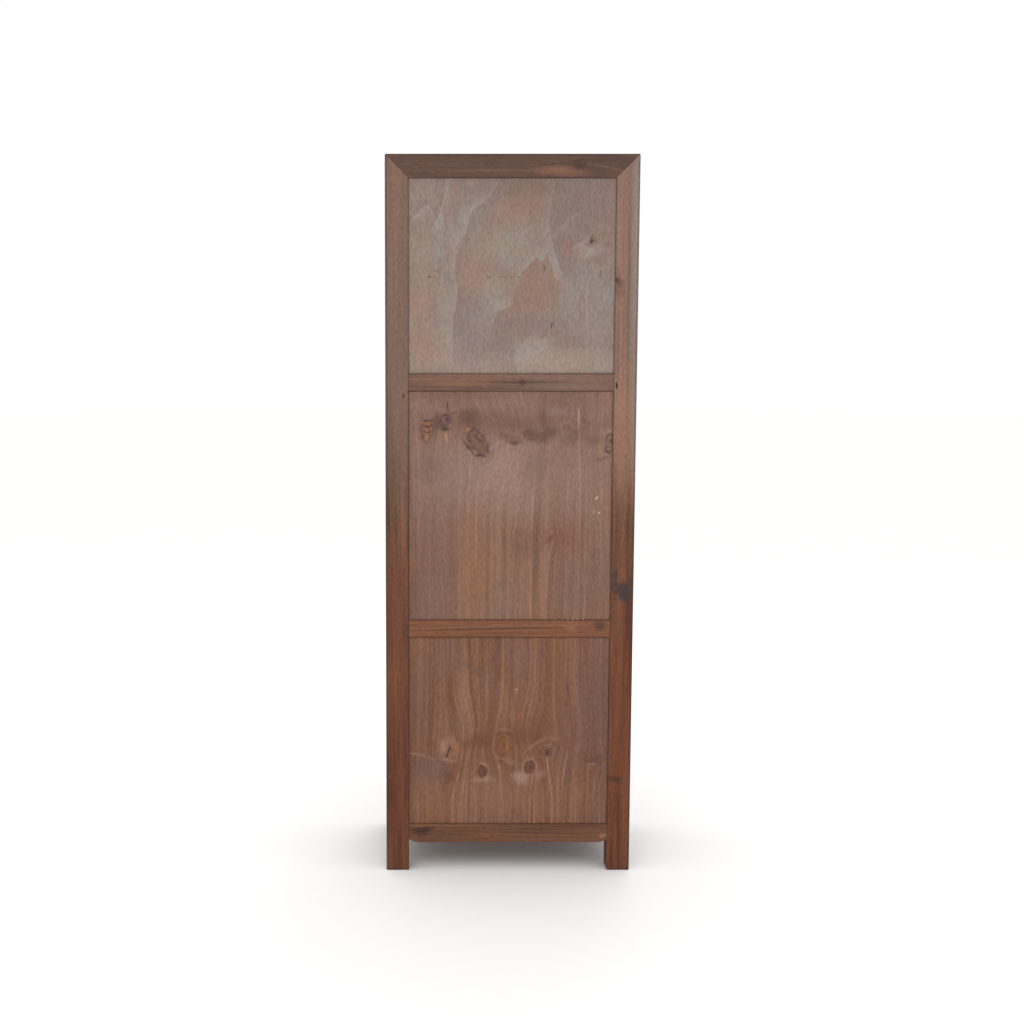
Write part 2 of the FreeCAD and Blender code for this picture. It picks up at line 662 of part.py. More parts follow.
def make_door(side):
    """A framed door that turns on wooden pivots worked on its hinge stile."""
    hand = HANDS[side]
    thick = ("front_setback", DOOR_BACK)
    tall = (DOOR_LOW, DOOR_HIGH)
    panel_plane = ("front_setback + door_panel_setback",
                   "front_setback + door_panel_setback + door_panel_thickness")
    hinge_edge = f"({DOOR_OUTER} - stile_width)"
    meeting_edge = f"({DOOR_INNER} + stile_width)"
    rails = {
        "top": (f"{DOOR_HIGH} - door_top_rail_height", DOOR_HIGH),
        "middle": ("shelf_level - door_middle_rail_height", "shelf_level"),
        "bottom": (DOOR_LOW, f"{DOOR_LOW} + door_bottom_rail_height"),
    }
    hinge = start_on_side(f"{side}_door_hinge_stile", "front")
    block(hinge, "stock", (hinge_edge, PIVOT_ALONG), thick, tall, hand=hand)
    bar(hinge, "rounded_edge", "z", (PIVOT_ALONG, PIVOT_INWARD, DOOR_LOW), "door_thickness / 2",
        f"{DOOR_HIGH} - {DOOR_LOW}", hand=hand)
    bar(hinge, "pivots", "z", (PIVOT_ALONG, PIVOT_INWARD, "floor_level - socket_depth + seat_gap"),
        "pivot_radius", f"{DOOR_HIGH} - floor_level + door_end_gap + 2 * socket_depth - seat_gap", hand=hand)
    meeting = start_on_side(f"{side}_door_meeting_stile", "front")
    block(meeting, "stock", (DOOR_INNER, meeting_edge), thick, tall, hand=hand)
    for stile, mortise, groove in (
        (hinge, (hinge_edge, f"{hinge_edge} + door_tenon_length"),
         (hinge_edge, f"{hinge_edge} + groove_depth")),
        (meeting, (f"{meeting_edge} - door_tenon_length", meeting_edge),
         (f"{meeting_edge} - groove_depth", meeting_edge)),
    ):
        for low, high in rails.values():
            block(stile, "rail_mortise", mortise, panel_plane,
                  (f"{low} + groove_depth", f"{high} - groove_depth"), True, hand)
        block(stile, "panel_groove", groove, panel_plane,
              (f"{rails['bottom'][1]} - groove_depth", f"{rails['top'][0]} + groove_depth"), True, hand)
    frame_rails = start_on_side(f"{side}_door_rails", "front", group=True)
    for name, (low, high) in rails.items():
        block(frame_rails, f"{name}_rail", (meeting_edge, hinge_edge), thick, (low, high), hand=hand)
        block(frame_rails, f"{name}_tenons",
              (f"{meeting_edge} - door_tenon_length + mortise_slack",
               f"{hinge_edge} + door_tenon_length - mortise_slack"),
              panel_plane, (f"{low} + groove_depth", f"{high} - groove_depth"), hand=hand)
        for groove, wanted in (((f"{high} - groove_depth", f"{high} + overrun"), name != "top"),
                               ((f"{low} - overrun", f"{low} + groove_depth"), name != "bottom")):
            if wanted:
                block(frame_rails, f"{name}_groove", (meeting_edge, hinge_edge), panel_plane, groove,
                      True, hand)
    panels = start_on_side(f"{side}_door_panels", "front", group=True)
    for name, low, high in (("lower", rails["bottom"][1], rails["middle"][0]),
                            ("upper", rails["middle"][1], rails["top"][0])):
        block(panels, f"{name}_panel",
              (f"{meeting_edge} - groove_depth + panel_slack", f"{hinge_edge} + groove_depth - panel_slack"),
              panel_plane, (f"{low} - groove_depth", f"{high} + groove_depth - panel_slack"), hand=hand)


def make_door_brass(side):
    """A half-moon plate with its staple, and the drop that swings in the staple."""
    hand = HANDS[side]
    plate = start_on_side(f"{side}_door_plate", "front")
    slab(plate, "half_moon", "XZ_Plane", [
        (DOOR_INNER, "plate_level - plate_radius"),
        (f"{DOOR_INNER} + plate_radius", "plate_level", "plate_radius", 1),
        (DOOR_INNER, "plate_level + plate_radius", "plate_radius", 1),
    ], (BRASS_FACE, "front_setback"), hand=hand)
    reach = "drop_eye_width / 2 + drop_eye_play + staple_radius"
    for sign in ("-", "+"):
        leg = (f"{STAPLE_ALONG} {sign} ({reach})", STAPLE_INWARD, "plate_level")
        bar(plate, "staple_leg", "y", leg, "staple_radius", f"{BRASS_FACE} - {STAPLE_INWARD}", hand=hand)
    crossing = (f"{hand} * {STAPLE_ALONG} - ({reach})", STAPLE_INWARD, "plate_level")
    bar(plate, "staple_bar", "x", crossing, "staple_radius", f"2 * ({reach})")
    drop = start_on_side(f"{side}_door_drop", "front")
    middle_line = f"({hand} * {STAPLE_ALONG})"
    bar(drop, "eye", "x", (f"{middle_line} - drop_eye_width / 2", STAPLE_INWARD, "plate_level"),
        "drop_eye_radius", "drop_eye_width")
    neck_level = "(plate_level - (drop_eye_radius + staple_radius) / 2)"
    foot_level = "(plate_level - drop_length + drop_width / 2)"
    slab(drop, "leaf", "XZ_Plane", [
        (f"{middle_line} + drop_neck_width / 2", neck_level, "drop_flank_radius", -1),
        (f"{middle_line} - drop_neck_width / 2", neck_level),
        (f"{middle_line} - drop_width / 2", foot_level, "drop_flank_radius", -1),
        (middle_line, "plate_level - drop_length", "drop_width / 2", 1),
        (f"{middle_line} + drop_width / 2", foot_level, "drop_width / 2", 1),
    ], (f"{STAPLE_INWARD} - drop_thickness / 2", f"{STAPLE_INWARD} + drop_thickness / 2"))
    bar(drop, "bore", "x", (f"{middle_line} - drop_eye_width / 2 - overrun", STAPLE_INWARD, "plate_level"),
        "staple_radius + running_gap", "drop_eye_width + 2 * overrun", cut=True)


def make_drawer(side):
    """A drawer with a lapped front, two sides and a back, and a bottom slid in from behind."""
    hand = HANDS[side]
    tall = ("drawer_level + drawer_gap", f"{DRAWER_TOP} - drawer_gap")
    face_back = "(front_setback + drawer_front_thickness)"
    lap = "(front_setback + drawer_lap_cover)"
    rear = f"({BEARER_FACE} - seat_gap)"
    side_low = "(drawer_level + seat_gap)"
    side_high = f"({DRAWER_TOP} - drawer_top_room)"
    bottom_low = f"{side_low} + drawer_bottom_rise"
    bottom = (bottom_low, f"{bottom_low} + drawer_bottom_thickness")
    cheeks = (
        (DRAWER_INNER, f"{DRAWER_INNER} + drawer_side_thickness"),
        (f"{DRAWER_OUTER} - drawer_side_thickness", DRAWER_OUTER),
    )
    inside = (cheeks[0][1], cheeks[1][0])
    bottom_wide = (f"{inside[0]} - drawer_groove_depth", f"{inside[1]} + drawer_groove_depth")
    front = start_on_side(f"{side}_drawer_front", "front")
    block(front, "stock", (DRAWER_INNER, DRAWER_OUTER), ("front_setback", face_back), tall, hand=hand)
    for cheek in cheeks:
        block(front, "lap", cheek, (lap, f"{face_back} + overrun"),
              (f"{side_low} - overrun", side_high), True, hand)
    block(front, "bottom_groove", bottom_wide,
          (f"{face_back} - drawer_groove_depth", f"{face_back} + overrun"), bottom, True, hand)
    box = start_on_side(f"{side}_drawer_sides", "front", group=True)
    for cheek in cheeks:
        block(box, "side", cheek, (lap, rear), (side_low, side_high), hand=hand)
    block(box, "bottom_groove", bottom_wide, (f"{face_back} - drawer_groove_depth", f"{rear} + overrun"),
          bottom, True, hand)
    back = (f"{inside[0]} + glue_line", f"{inside[1]} - glue_line")
    block(box, "back", back, (f"{rear} - drawer_side_thickness", rear),
          (bottom[1], f"{side_high} - drawer_back_drop"), hand=hand)
    board = start_on_side(f"{side}_drawer_bottom", "front")
    block(board, "board", bottom_wide, (f"{face_back} - drawer_groove_depth", rear), bottom, hand=hand)


def make_drawer_brass(side):
    """Two knuckle posts on rosettes, and the cast bail whose round ends turn in them."""
    hand = HANDS[side]
    posts = start_on_side(f"{side}_bail_posts", "front", group=True)
    centre = f"({hand} * {DRAWER_MIDDLE})"
    for sign in ("-", "+"):
        stand = f"{centre} {sign} bail_span / 2"
        bar(posts, "rosette", "y", (stand, "front_setback - rosette_thickness", BAIL_LEVEL),
            "rosette_radius", "rosette_thickness")
        bar(posts, "stem", "y", (stand, BAIL_INWARD, BAIL_LEVEL), "bail_stem_radius", "bail_standoff")
        bar(posts, "knuckle", "x", (f"{stand} - knuckle_width / 2", BAIL_INWARD, BAIL_LEVEL),
            "knuckle_radius", "knuckle_width")
    bar(posts, "bore", "x", (f"{centre} - bail_span", BAIL_INWARD, BAIL_LEVEL),
        "bail_thickness / 2 + running_gap", "2 * bail_span", cut=True)
    bail = start_on_side(f"{side}_bail", "front")
    half = "bail_thickness / 2"
    inner = "(bail_span / 2 - bail_end_reach)"
    outer = "(bail_span / 2 + bail_side_reach)"
    low = f"({BAIL_LEVEL} - bail_fall)"
    elbow = f"({low} + bail_corner_radius)"
    foot = f"({outer} - bail_corner_radius)"
    outside = [
        (f"{outer} - {half}", BAIL_LEVEL),
        (f"{outer} + {half}", BAIL_LEVEL, half, -1),
        (f"{outer} + {half}", elbow),
        (foot, f"{low} - {half}", f"bail_corner_radius + {half}", -1),
        (f"-{foot}", f"{low} - {half}"),
        (f"-({outer} + {half})", elbow, f"bail_corner_radius + {half}", -1),
        (f"-({outer} + {half})", BAIL_LEVEL),
        (f"-({outer} - {half})", BAIL_LEVEL, half, -1),
    ]
    inside = [
        (f"-({outer} - {half})", elbow),
        (f"-{foot}", f"{low} + {half}", f"bail_corner_radius - {half}", 1),
        (foot, f"{low} + {half}"),
        (f"{outer} - {half}", elbow, f"bail_corner_radius - {half}", 1),
    ]
    shape = [(f"{centre} + {point[0]}",) + point[1:] for point in outside + inside]
    slab(bail, "loop", "XZ_Plane", shape, (f"{BAIL_INWARD} - {half}", f"{BAIL_INWARD} + {half}"))
    for near in (f"{centre} + {inner}", f"{centre} - {outer}"):
        bar(bail, "end", "x", (near, BAIL_INWARD, BAIL_LEVEL), half, f"{outer} - {inner}")


for post in POSTS:
    make_post(post)
for side_name, side_rails in RAILS.items():
    make_crown_rail(side_name)
    for rail_name in side_rails:
        make_cross_rail(side_name, rail_name)
    if side_rails is PANELLED_RAILS:
        make_panel(side_name, "upper", "deck_level", CROWN_LOW)
        make_panel(side_name, "middle", "shelf_level", DRAWER_TOP)
        make_panel(side_name, "lower", "floor_level", "(shelf_level - middle_rail_height)")
make_top_panel()
make_board("display_deck", "deck_level")
make_board("book_shelf", "shelf_level", f"(-depth / 2 + {SHELF_BEARER_NEAR})")
make_board("floor_board", "floor_level")
make_bearers()
make_runners()
make_divider()
make_apron()
for side_name in HANDS:
    make_door(side_name)
    make_door_brass(side_name)
    make_drawer(side_name)
    make_drawer_brass(side_name)
document.recompute()

for thing in document.Objects:
    if {"Invalid", "Error"} & set(thing.State):
        raise RuntimeError(f"{thing.Label} did not build: {thing.State}")
for sub_part in pieces:
    if sub_part.Shape.isNull() or not sub_part.Shape.isValid():
        raise RuntimeError(f"{sub_part.Label} has no sound shape")

os.makedirs("parts", exist_ok=True)
for sub_part in pieces:
    sub_part.Shape.exportStep(f"parts/{sub_part.Label}.step")
print(len(pieces), "sub-parts,", sum(len(sub_part.Shape.Solids) for sub_part in pieces), "solids")
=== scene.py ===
"""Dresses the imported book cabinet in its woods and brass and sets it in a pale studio.

Lengths are metres in the cabinet's own frame: +Z up, doors and drawers towards -Y and the
panelled back towards +Y. Names that end in _mm are millimetres.
"""
import json
import math

import bmesh
import bpy
from mathutils import Matrix, Vector, noise

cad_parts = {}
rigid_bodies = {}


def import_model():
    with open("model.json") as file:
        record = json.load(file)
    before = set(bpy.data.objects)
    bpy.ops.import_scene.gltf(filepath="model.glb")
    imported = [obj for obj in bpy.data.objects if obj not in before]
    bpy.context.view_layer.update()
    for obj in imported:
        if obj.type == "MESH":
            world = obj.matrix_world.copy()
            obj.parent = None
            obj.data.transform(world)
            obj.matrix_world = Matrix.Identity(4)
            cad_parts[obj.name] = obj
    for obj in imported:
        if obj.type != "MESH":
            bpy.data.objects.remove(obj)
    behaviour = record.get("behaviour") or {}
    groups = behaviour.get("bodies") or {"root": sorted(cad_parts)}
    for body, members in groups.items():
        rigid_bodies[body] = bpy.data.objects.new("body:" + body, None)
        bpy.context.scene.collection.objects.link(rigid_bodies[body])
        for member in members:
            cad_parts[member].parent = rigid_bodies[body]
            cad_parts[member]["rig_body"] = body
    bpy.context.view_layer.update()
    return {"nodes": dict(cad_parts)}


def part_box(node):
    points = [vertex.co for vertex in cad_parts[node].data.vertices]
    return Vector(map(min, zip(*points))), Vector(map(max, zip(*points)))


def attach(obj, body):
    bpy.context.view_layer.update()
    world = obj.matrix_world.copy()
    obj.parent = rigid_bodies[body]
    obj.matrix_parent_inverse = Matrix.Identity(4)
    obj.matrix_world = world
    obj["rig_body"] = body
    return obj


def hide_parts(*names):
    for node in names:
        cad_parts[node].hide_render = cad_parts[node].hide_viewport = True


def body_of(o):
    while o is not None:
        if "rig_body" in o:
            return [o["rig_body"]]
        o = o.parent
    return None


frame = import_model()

bl_info = {
    "name": "Panelled book cabinet",
    "version": (1, 0, 0),
    "blender": (4, 5, 0),
    "location": "View3D > Sidebar > Cabinet",
    "description": "Dresses the packed cabinet in oiled elm, stained board and aged brass",
    "category": "Object",
}

MM = 0.001
NODES = frame["nodes"]
AXES = "XYZ"
HANDS = {"left": -1, "right": 1}

# the outer face of the back, and the plane of its boards
BACK_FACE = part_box("back_left_post")[1].y
BACK_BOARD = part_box("back_upper_panel")[1].y

# softened arrises of the thin boards and of the drawers' sides; that of the frame is a setting
BOARD_EASE = 0.4 * MM
SIDE_EASE = 0.6 * MM
# wear on the posts' feet, and how far the underside of a rail wavers
FOOT_WEAR = 2.4 * MM
WAVER = 1.6 * MM
# faces that meet at less than the first angle are one flat face, and an edge that turns by more
# than the second one stays crisp
FLAT = math.radians(0.4)
SHARP = math.radians(32)
# points this near to each other are one: in the CAD's meshes, and in turned and cast shapes
SAME_POINT = 0.01 * MM
SAME_CAST_POINT = 0.004 * MM


def linear(hex_tone):
    """An sRGB hex colour as the linear red, green, blue and alpha that the shaders take."""
    parts = [int(hex_tone[at:at + 2], 16) / 255 for at in (1, 3, 5)]
    return tuple(c / 12.92 if c <= 0.04045 else ((c + 0.055) / 1.055) ** 2.4 for c in parts) + (1.0,)


def tone_property(name, description, hex_tone):
    """A colour that the user may change."""
    return bpy.props.FloatVectorProperty(
        name=name, description=description, default=linear(hex_tone), size=4, subtype="COLOR", min=0, max=1)


def length_property(name, description, default):
    """A length that the user may change."""
    return bpy.props.FloatProperty(
        name=name, description=description, default=default, min=0, unit="LENGTH", precision=4)


class BOOKCABINET_PG_elm(bpy.types.PropertyGroup):
    """The stained elm of the frame, doors and drawers."""
    pale: tone_property("Pale wood", "Between the growth rings, where the stain took least", "#7F5640")
    brown: tone_property("Brown wood", "The usual tone of the stained elm", "#67432F")
    deep: tone_property("Deep wood", "Streaks that drank the most stain", "#4A2E21")
    # paler, greyer tone painted over the upper part of the elm: a painted sheen for the light that the oiled
    # surface reflects there
    top_sheen_tone: tone_property("Painted top sheen", "Paler tone painted over the top for the sheen of the light", "#7F6961")
    ring_width: length_property("Ring width", "Distance between two growth rings", 3.4 * MM)
    ease: length_property("Arris ease", "Width of the softened edge of each piece", 0.9 * MM)


class BOOKCABINET_PG_board(bpy.types.PropertyGroup):
    """The thin boards of the back and the sides."""
    upper: tone_property("Upper board", "Rotary-cut face of the board behind the display bay", "#82756D")
    middle: tone_property("Middle board", "Knotty board behind the drawers and the shelf", "#7C5B4C")
    lower: tone_property("Lower board", "Knotty board behind the lowest shelf", "#754C36")
    side: tone_property("Side boards", "Plain face of the boards in the two sides", "#6A4738")
    inside: tone_property("Inside of the boards", "Unseen face, stained in one thin coat", "#7E6150")


class BOOKCABINET_PG_brass(bpy.types.PropertyGroup):
    """The aged brass of the door plates, drops and bails."""
    metal: tone_property("Brass", "Where fingers keep it bright", "#A8875A")
    patina: tone_property("Patina", "The brown film in the hollows", "#6A5238")
    rod_radius: length_property("Rod radius", "Half the thickness of the bails and staples", 1.5 * MM)
    pin_radius: length_property("Pin radius", "Half the width of a pin's head on the door plates", 1.7 * MM)
    back_pin_radius: length_property("Back pin radius", "Half the width of a head on the back", 1.7 * MM)


class BOOKCABINET_PG_stage(bpy.types.PropertyGroup):
    """The pale studio."""
    floor: tone_property("Floor", "Matt paper on the floor", "#FDFDFC")
    camera_distance: length_property("Camera distance", "From the cabinet's back to the camera", 3.5)
    camera_height: length_property("Camera height", "From the floor to the camera", 1.34)
    camera_aside: length_property("Camera aside", "How far the camera stands to the side", 0.233)
    tilt: bpy.props.FloatProperty(
        name="Tilt", description="How far the camera looks down", default=math.radians(6.1), unit="ROTATION")


def add(tree, kind, inputs=None, stops=None, curve=None, **settings):
    """Adds one node with its settings, and the constants, nodes or sockets that feed it."""
    node = tree.nodes.new(kind)
    for name, value in settings.items():
        setattr(node, name, value)
    for key, value in (inputs or {}).items():
        source = value.outputs[0] if isinstance(value, bpy.types.Node) else value
        if isinstance(source, bpy.types.NodeSocket):
            tree.links.new(source, node.inputs[key])
        else:
            node.inputs[key].default_value = source
    for number, (position, tone) in enumerate(stops or ()):
        elements = node.color_ramp.elements
        element = elements[number] if number < 2 else elements.new(position)
        element.position = position
        element.color = tone if hasattr(tone, "__len__") else (tone, tone, tone, 1)
    if curve:
        line = node.mapping.curves[0]
        for number, (across, up) in enumerate(curve):
            if number < 2:
                line.points[number].location = (across, up)
            else:
                line.points.new(across, up)
        for point in line.points:
            point.handle_type = "VECTOR"
        node.mapping.update()
    return node


MATH = "ShaderNodeMath"
VECTOR = "ShaderNodeVectorMath"
NOISE = "ShaderNodeTexNoise"
SPREAD = "ShaderNodeMapRange"
RAMP = "ShaderNodeValToRGB"
MIX = "ShaderNodeMixRGB"
SPLIT = "ShaderNodeSeparateXYZ"
JOIN = "ShaderNodeCombineXYZ"

# scales of the plain noises: features to a metre, then the width of one of them and what it gives
FRAYED_BORDER = 120.0  # 8 mm, the frayed border of a mark
BULGING_BORDER = 26.0  # 38 mm, the bulges of its outline
WORN_KNOT = 80.0  # 12 mm, patches where the lines of a knot are worn away
JAGGED_RIM = 140.0  # 7 mm, how the grime and painted shade along a joint thin out
BRASS_FILM = 95.0  # 11 mm, patches of the brown film
BRASS_GRIT = 900.0  # 1 mm, dark specks in the film
HAMMER_MARKS = 240.0  # 4 mm, dents of the hammer
PIN_FILM = 700.0  # 1.4 mm, the film on a pin's head
PAPER_TOOTH = 60.0  # 17 mm, the soft unevenness of the floor paper
# the same across and along a knotty board: bands 29 mm wide and 1.1 m long, threads 3 by 370 mm
BANDS = (34, 1, 1)
THREADS = (330, 3, 1)
# half the depth of an ellipse on the back, in metres: it reaches through every piece
THROUGH = 1e3
# lines round the heart of a knot, from its middle to its border
KNOT_RINGS = 3.4
# dust and old wax where a stained board meets the frame, and the painted shade of that joint
JOINT_GRIME_AND_SHADE = "#33241D"


def new_material(name):
    """A material with an empty tree."""
    material = bpy.data.materials.new(name)
    material.use_nodes = True
    material.node_tree.nodes.clear()
    return material


def grain_place(tree, along):
    """Where a point lies in the wood: two coordinates across the grain and the third along it."""
    place = add(tree, "ShaderNodeTexCoord").outputs["Object"]
    parts = add(tree, SPLIT, {0: place})
    across = [parts.outputs[AXES.index(axis)] for axis in AXES if axis != along]
    return add(tree, JOIN, {0: across[0], 1: across[1], 2: parts.outputs[AXES.index(along)]})


def stretched_noise(tree, place, across_mm, along_mm, detail=3.0, rough=0.5, shift=0.0):
    """Noise whose features are so wide across the grain and so long along it."""
    scale = (1 / (across_mm * MM), 1 / (across_mm * MM), 1 / (along_mm * MM))
    moved = add(tree, VECTOR, {0: place, 1: scale, 2: (shift, shift, shift)}, operation="MULTIPLY_ADD")
    return add(tree, NOISE, {"Vector": moved, "Scale": 1.0, "Detail": detail, "Roughness": rough})


def ring_lines(tree, place, ring_mm, wander_mm, pith_mm):
    """Growth rings round a pith that wanders up the stem: 0 in the early wood, 1 in the late."""
    drift = stretched_noise(tree, place, 90, 700, 2.0).outputs["Color"]
    shifted = add(tree, VECTOR, {0: drift, 1: (-0.5, -0.5, -0.5)}, operation="ADD")
    wander = add(tree, VECTOR, {0: shifted, 1: (wander_mm * MM, wander_mm * MM, 0)}, operation="MULTIPLY")
    flat = add(tree, VECTOR, {0: place, 1: (1, 1, 0)}, operation="MULTIPLY")
    centred = add(tree, VECTOR, {0: flat, 1: (-pith_mm[0] * MM, -pith_mm[1] * MM, 0)}, operation="ADD")
    stem = add(tree, VECTOR, {0: centred, 1: wander}, operation="ADD")
    radius = add(tree, VECTOR, {0: stem}, operation="LENGTH").outputs["Value"]
    turns = add(tree, MATH, {0: radius, 1: 1 / (ring_mm * MM)}, operation="MULTIPLY")
    phase = add(tree, MATH, {0: turns}, operation="FRACT")
    return add(tree, RAMP, {0: phase},
               stops=[(0.0, 0.75), (0.12, 0.15), (0.6, 0.25), (0.93, 0.6), (1.0, 0.9)])


def paint(tree, below, tone, amount, *masks, how="MIX"):
    """Lays a tone over a colour, so much of it, where all the masks are high."""
    for mask in masks:
        amount = add(tree, MATH, {0: mask, 1: amount}, operation="MULTIPLY")
    return add(tree, MIX, {"Fac": amount, "Color1": below, "Color2": tone}, blend_type=how)


def paint_where(tree, below, tone, amount, value, start, full, *masks):
    """Lays a tone over a colour where a value goes from start to full, upwards or downwards."""
    reached = add(tree, SPREAD, {"Value": value, "From Min": start, "From Max": full})
    return paint(tree, below, tone, amount, reached, *masks)


def ragged_place(tree, fine_mm, broad_mm):
    """Object coordinates shaken a little, so that what is drawn on them gets a ragged border."""
    place = add(tree, "ShaderNodeTexCoord").outputs["Object"]
    shaken = place
    for scale, detail, rough, reach_mm in ((FRAYED_BORDER, 4.0, 0.7, fine_mm),
                                           (BULGING_BORDER, 3.0, 0.6, broad_mm)):
        shake = add(tree, NOISE, {"Vector": place, "Scale": scale, "Detail": detail, "Roughness": rough})
        shaken = add(tree, VECTOR, {0: shake.outputs["Color"], 1: (reach_mm * MM,) * 3, 2: shaken},
                     operation="MULTIPLY_ADD")
    return add(tree, VECTOR, {0: shaken, 1: (-(fine_mm + broad_mm) / 2 * MM,) * 3}, operation="ADD")


def ellipse_place(tree, place, centre_mm, size_mm, lean):
    """Where a point lies in an ellipse on the back, counted in the ellipse's half widths."""
    return add(tree, "ShaderNodeMapping",
               {"Vector": place, "Location": (centre_mm[0] * MM, 0, centre_mm[1] * MM),
                "Scale": (size_mm[0] * MM, THROUGH, size_mm[1] * MM),
                "Rotation": (0, math.radians(lean), 0)}, vector_type="TEXTURE")


def ellipse_reach(tree, place, centre_mm, size_mm, lean):
    """How far out a point lies in an ellipse on the back: 0 in its middle and 1 on its border."""
    local = ellipse_place(tree, place, centre_mm, size_mm, lean)
    return add(tree, VECTOR, {0: local}, operation="LENGTH").outputs["Value"]


def paint_marks(tree, colour, marks):
    """Lays soft stains and scars over a colour: centre, half size, lean, softness, tone, amount."""
    blot_place = ragged_place(tree, 9, 22)
    streak_place = ragged_place(tree, 2, 3)
    for centre_mm, size_mm, lean, soft, hex_tone, amount in marks:
        # a slender mark would break up if it were shaken as much as a blot
        slender = max(size_mm) > 8 * min(size_mm)
        reach = ellipse_reach(tree, streak_place if slender else blot_place, centre_mm, size_mm, lean)
        mask = add(tree, SPREAD, {"Value": reach, "From Min": 1 + soft, "From Max": 1 - soft},
                   interpolation_type="SMOOTHSTEP")
        colour = paint(tree, colour, linear(hex_tone), amount, mask)
    return colour


def paint_knots(tree, colour, knots):
    """Draws knots: a halo, a brown face with rings, a broken border and a heart off its middle."""
    place = ragged_place(tree, 10, 26)
    worn = add(tree, NOISE, {"Vector": place, "Scale": WORN_KNOT, "Detail": 3.0, "Roughness": 0.6})
    patchy = add(tree, SPREAD,
                 {"Value": worn, "From Min": 0.4, "From Max": 0.6, "To Min": 0.35, "To Max": 1.0})
    for centre_mm, size_mm, lean, face_tone, rim_tone, halo_tone, amount in knots:
        rim = linear(rim_tone)
        reach = ellipse_reach(tree, place, centre_mm, size_mm, lean)
        halo = add(tree, SPREAD, {"Value": reach, "From Min": 2.1, "From Max": 1.0},
                   interpolation_type="SMOOTHSTEP")
        colour = paint(tree, colour, linear(halo_tone), 0.5 * amount, halo, patchy)
        face = add(tree, SPREAD, {"Value": reach, "From Min": 1.16, "From Max": 0.78})
        colour = paint(tree, colour, linear(face_tone), 0.9 * amount, face)
        turns = add(tree, MATH, {0: reach, 1: KNOT_RINGS}, operation="MULTIPLY")
        phase = add(tree, MATH, {0: turns}, operation="FRACT")
        colour = paint_where(tree, colour, rim, 0.5 * amount, phase, 0.45, 0.9, face, patchy)
        border = add(tree, RAMP, {0: add(tree, MATH, {0: reach, 1: 0.5}, operation="MULTIPLY")},
                     stops=[(0.36, 0.0), (0.5, 1.0), (0.6, 0.0)])
        colour = paint(tree, colour, rim, 0.9 * amount, border, patchy)
        heart_mm = (centre_mm[0] - 0.2 * size_mm[0], centre_mm[1] + 0.15 * size_mm[1])
        heart = ellipse_reach(tree, place, heart_mm, (0.2 * size_mm[0], 0.42 * size_mm[1]), lean + 20)
        dark_heart = add(tree, SPREAD, {"Value": heart, "From Min": 1.5, "From Max": 0.5},
                         interpolation_type="SMOOTHSTEP")
        colour = paint(tree, colour, rim, 0.7 * amount, dark_heart)
    return colour


def rim_band(tree, hidden_mm, width_mm, ragged_mm):
    """1 along the border of each flat face, counted from where the joint hides it."""
    at = add(tree, "ShaderNodeAttribute", attribute_name="face_place").outputs["Vector"]
    half = add(tree, "ShaderNodeAttribute", attribute_name="face_half").outputs["Vector"]
    reach = add(tree, VECTOR, {0: at}, operation="ABSOLUTE")
    left = add(tree, SPLIT, {0: add(tree, VECTOR, {0: half, 1: reach}, operation="SUBTRACT")})
    nearest = add(tree, MATH, {0: left.outputs[0], 1: left.outputs[1]}, operation="MINIMUM")
    place = add(tree, "ShaderNodeTexCoord").outputs["Object"]
    jag = add(tree, NOISE, {"Vector": place, "Scale": JAGGED_RIM, "Detail": 3.0})
    edge = add(tree, MATH, {0: jag, 1: -ragged_mm * MM, 2: nearest}, operation="MULTIPLY_ADD")
    return add(tree, SPREAD, {"Value": edge, "From Min": (hidden_mm + width_mm) * MM,
                              "From Max": hidden_mm * MM - ragged_mm * MM})


def close_wood(material, place, colour, relief, rough, depth_mm, specular):
    """Ends a wood's tree: raised grain, relief and a gloss that follows the same figure.

    The raised grain is really under 1 mm wide, and is drawn 3.6 mm wide so that it shows.
    """
    tree = material.node_tree
    raised = stretched_noise(tree, place, 3.6, 12, 2.0, 0.5, 17)
    shade = add(tree, SPREAD,
                {"Value": raised, "From Min": 0.3, "From Max": 0.7, "To Min": 0.15, "To Max": 0.85})
    colour = paint(tree, colour, shade, 0.2, how="OVERLAY")
    bump = add(tree, "ShaderNodeBump", {"Height": relief, "Strength": 0.8, "Distance": depth_mm * MM})
    gloss = add(tree, SPREAD, {"Value": relief, "To Min": rough[0], "To Max": rough[1]})
    skin = add(tree, "ShaderNodeBsdfPrincipled",
               {"Base Color": colour, "Roughness": gloss, "Normal": bump, "IOR": 1.48,
                "Specular IOR Level": specular})
    add(tree, "ShaderNodeOutputMaterial", {"Surface": skin})
    return material


def height_share(tree, low_mm, high_mm):
    """0 below one height and 1 above another."""
    upright = add(tree, SPLIT, {0: add(tree, "ShaderNodeTexCoord").outputs["Object"]}).outputs[2]
    return add(tree, SPREAD, {"Value": upright, "From Min": low_mm * MM, "From Max": high_mm * MM},
               interpolation_type="SMOOTHSTEP")


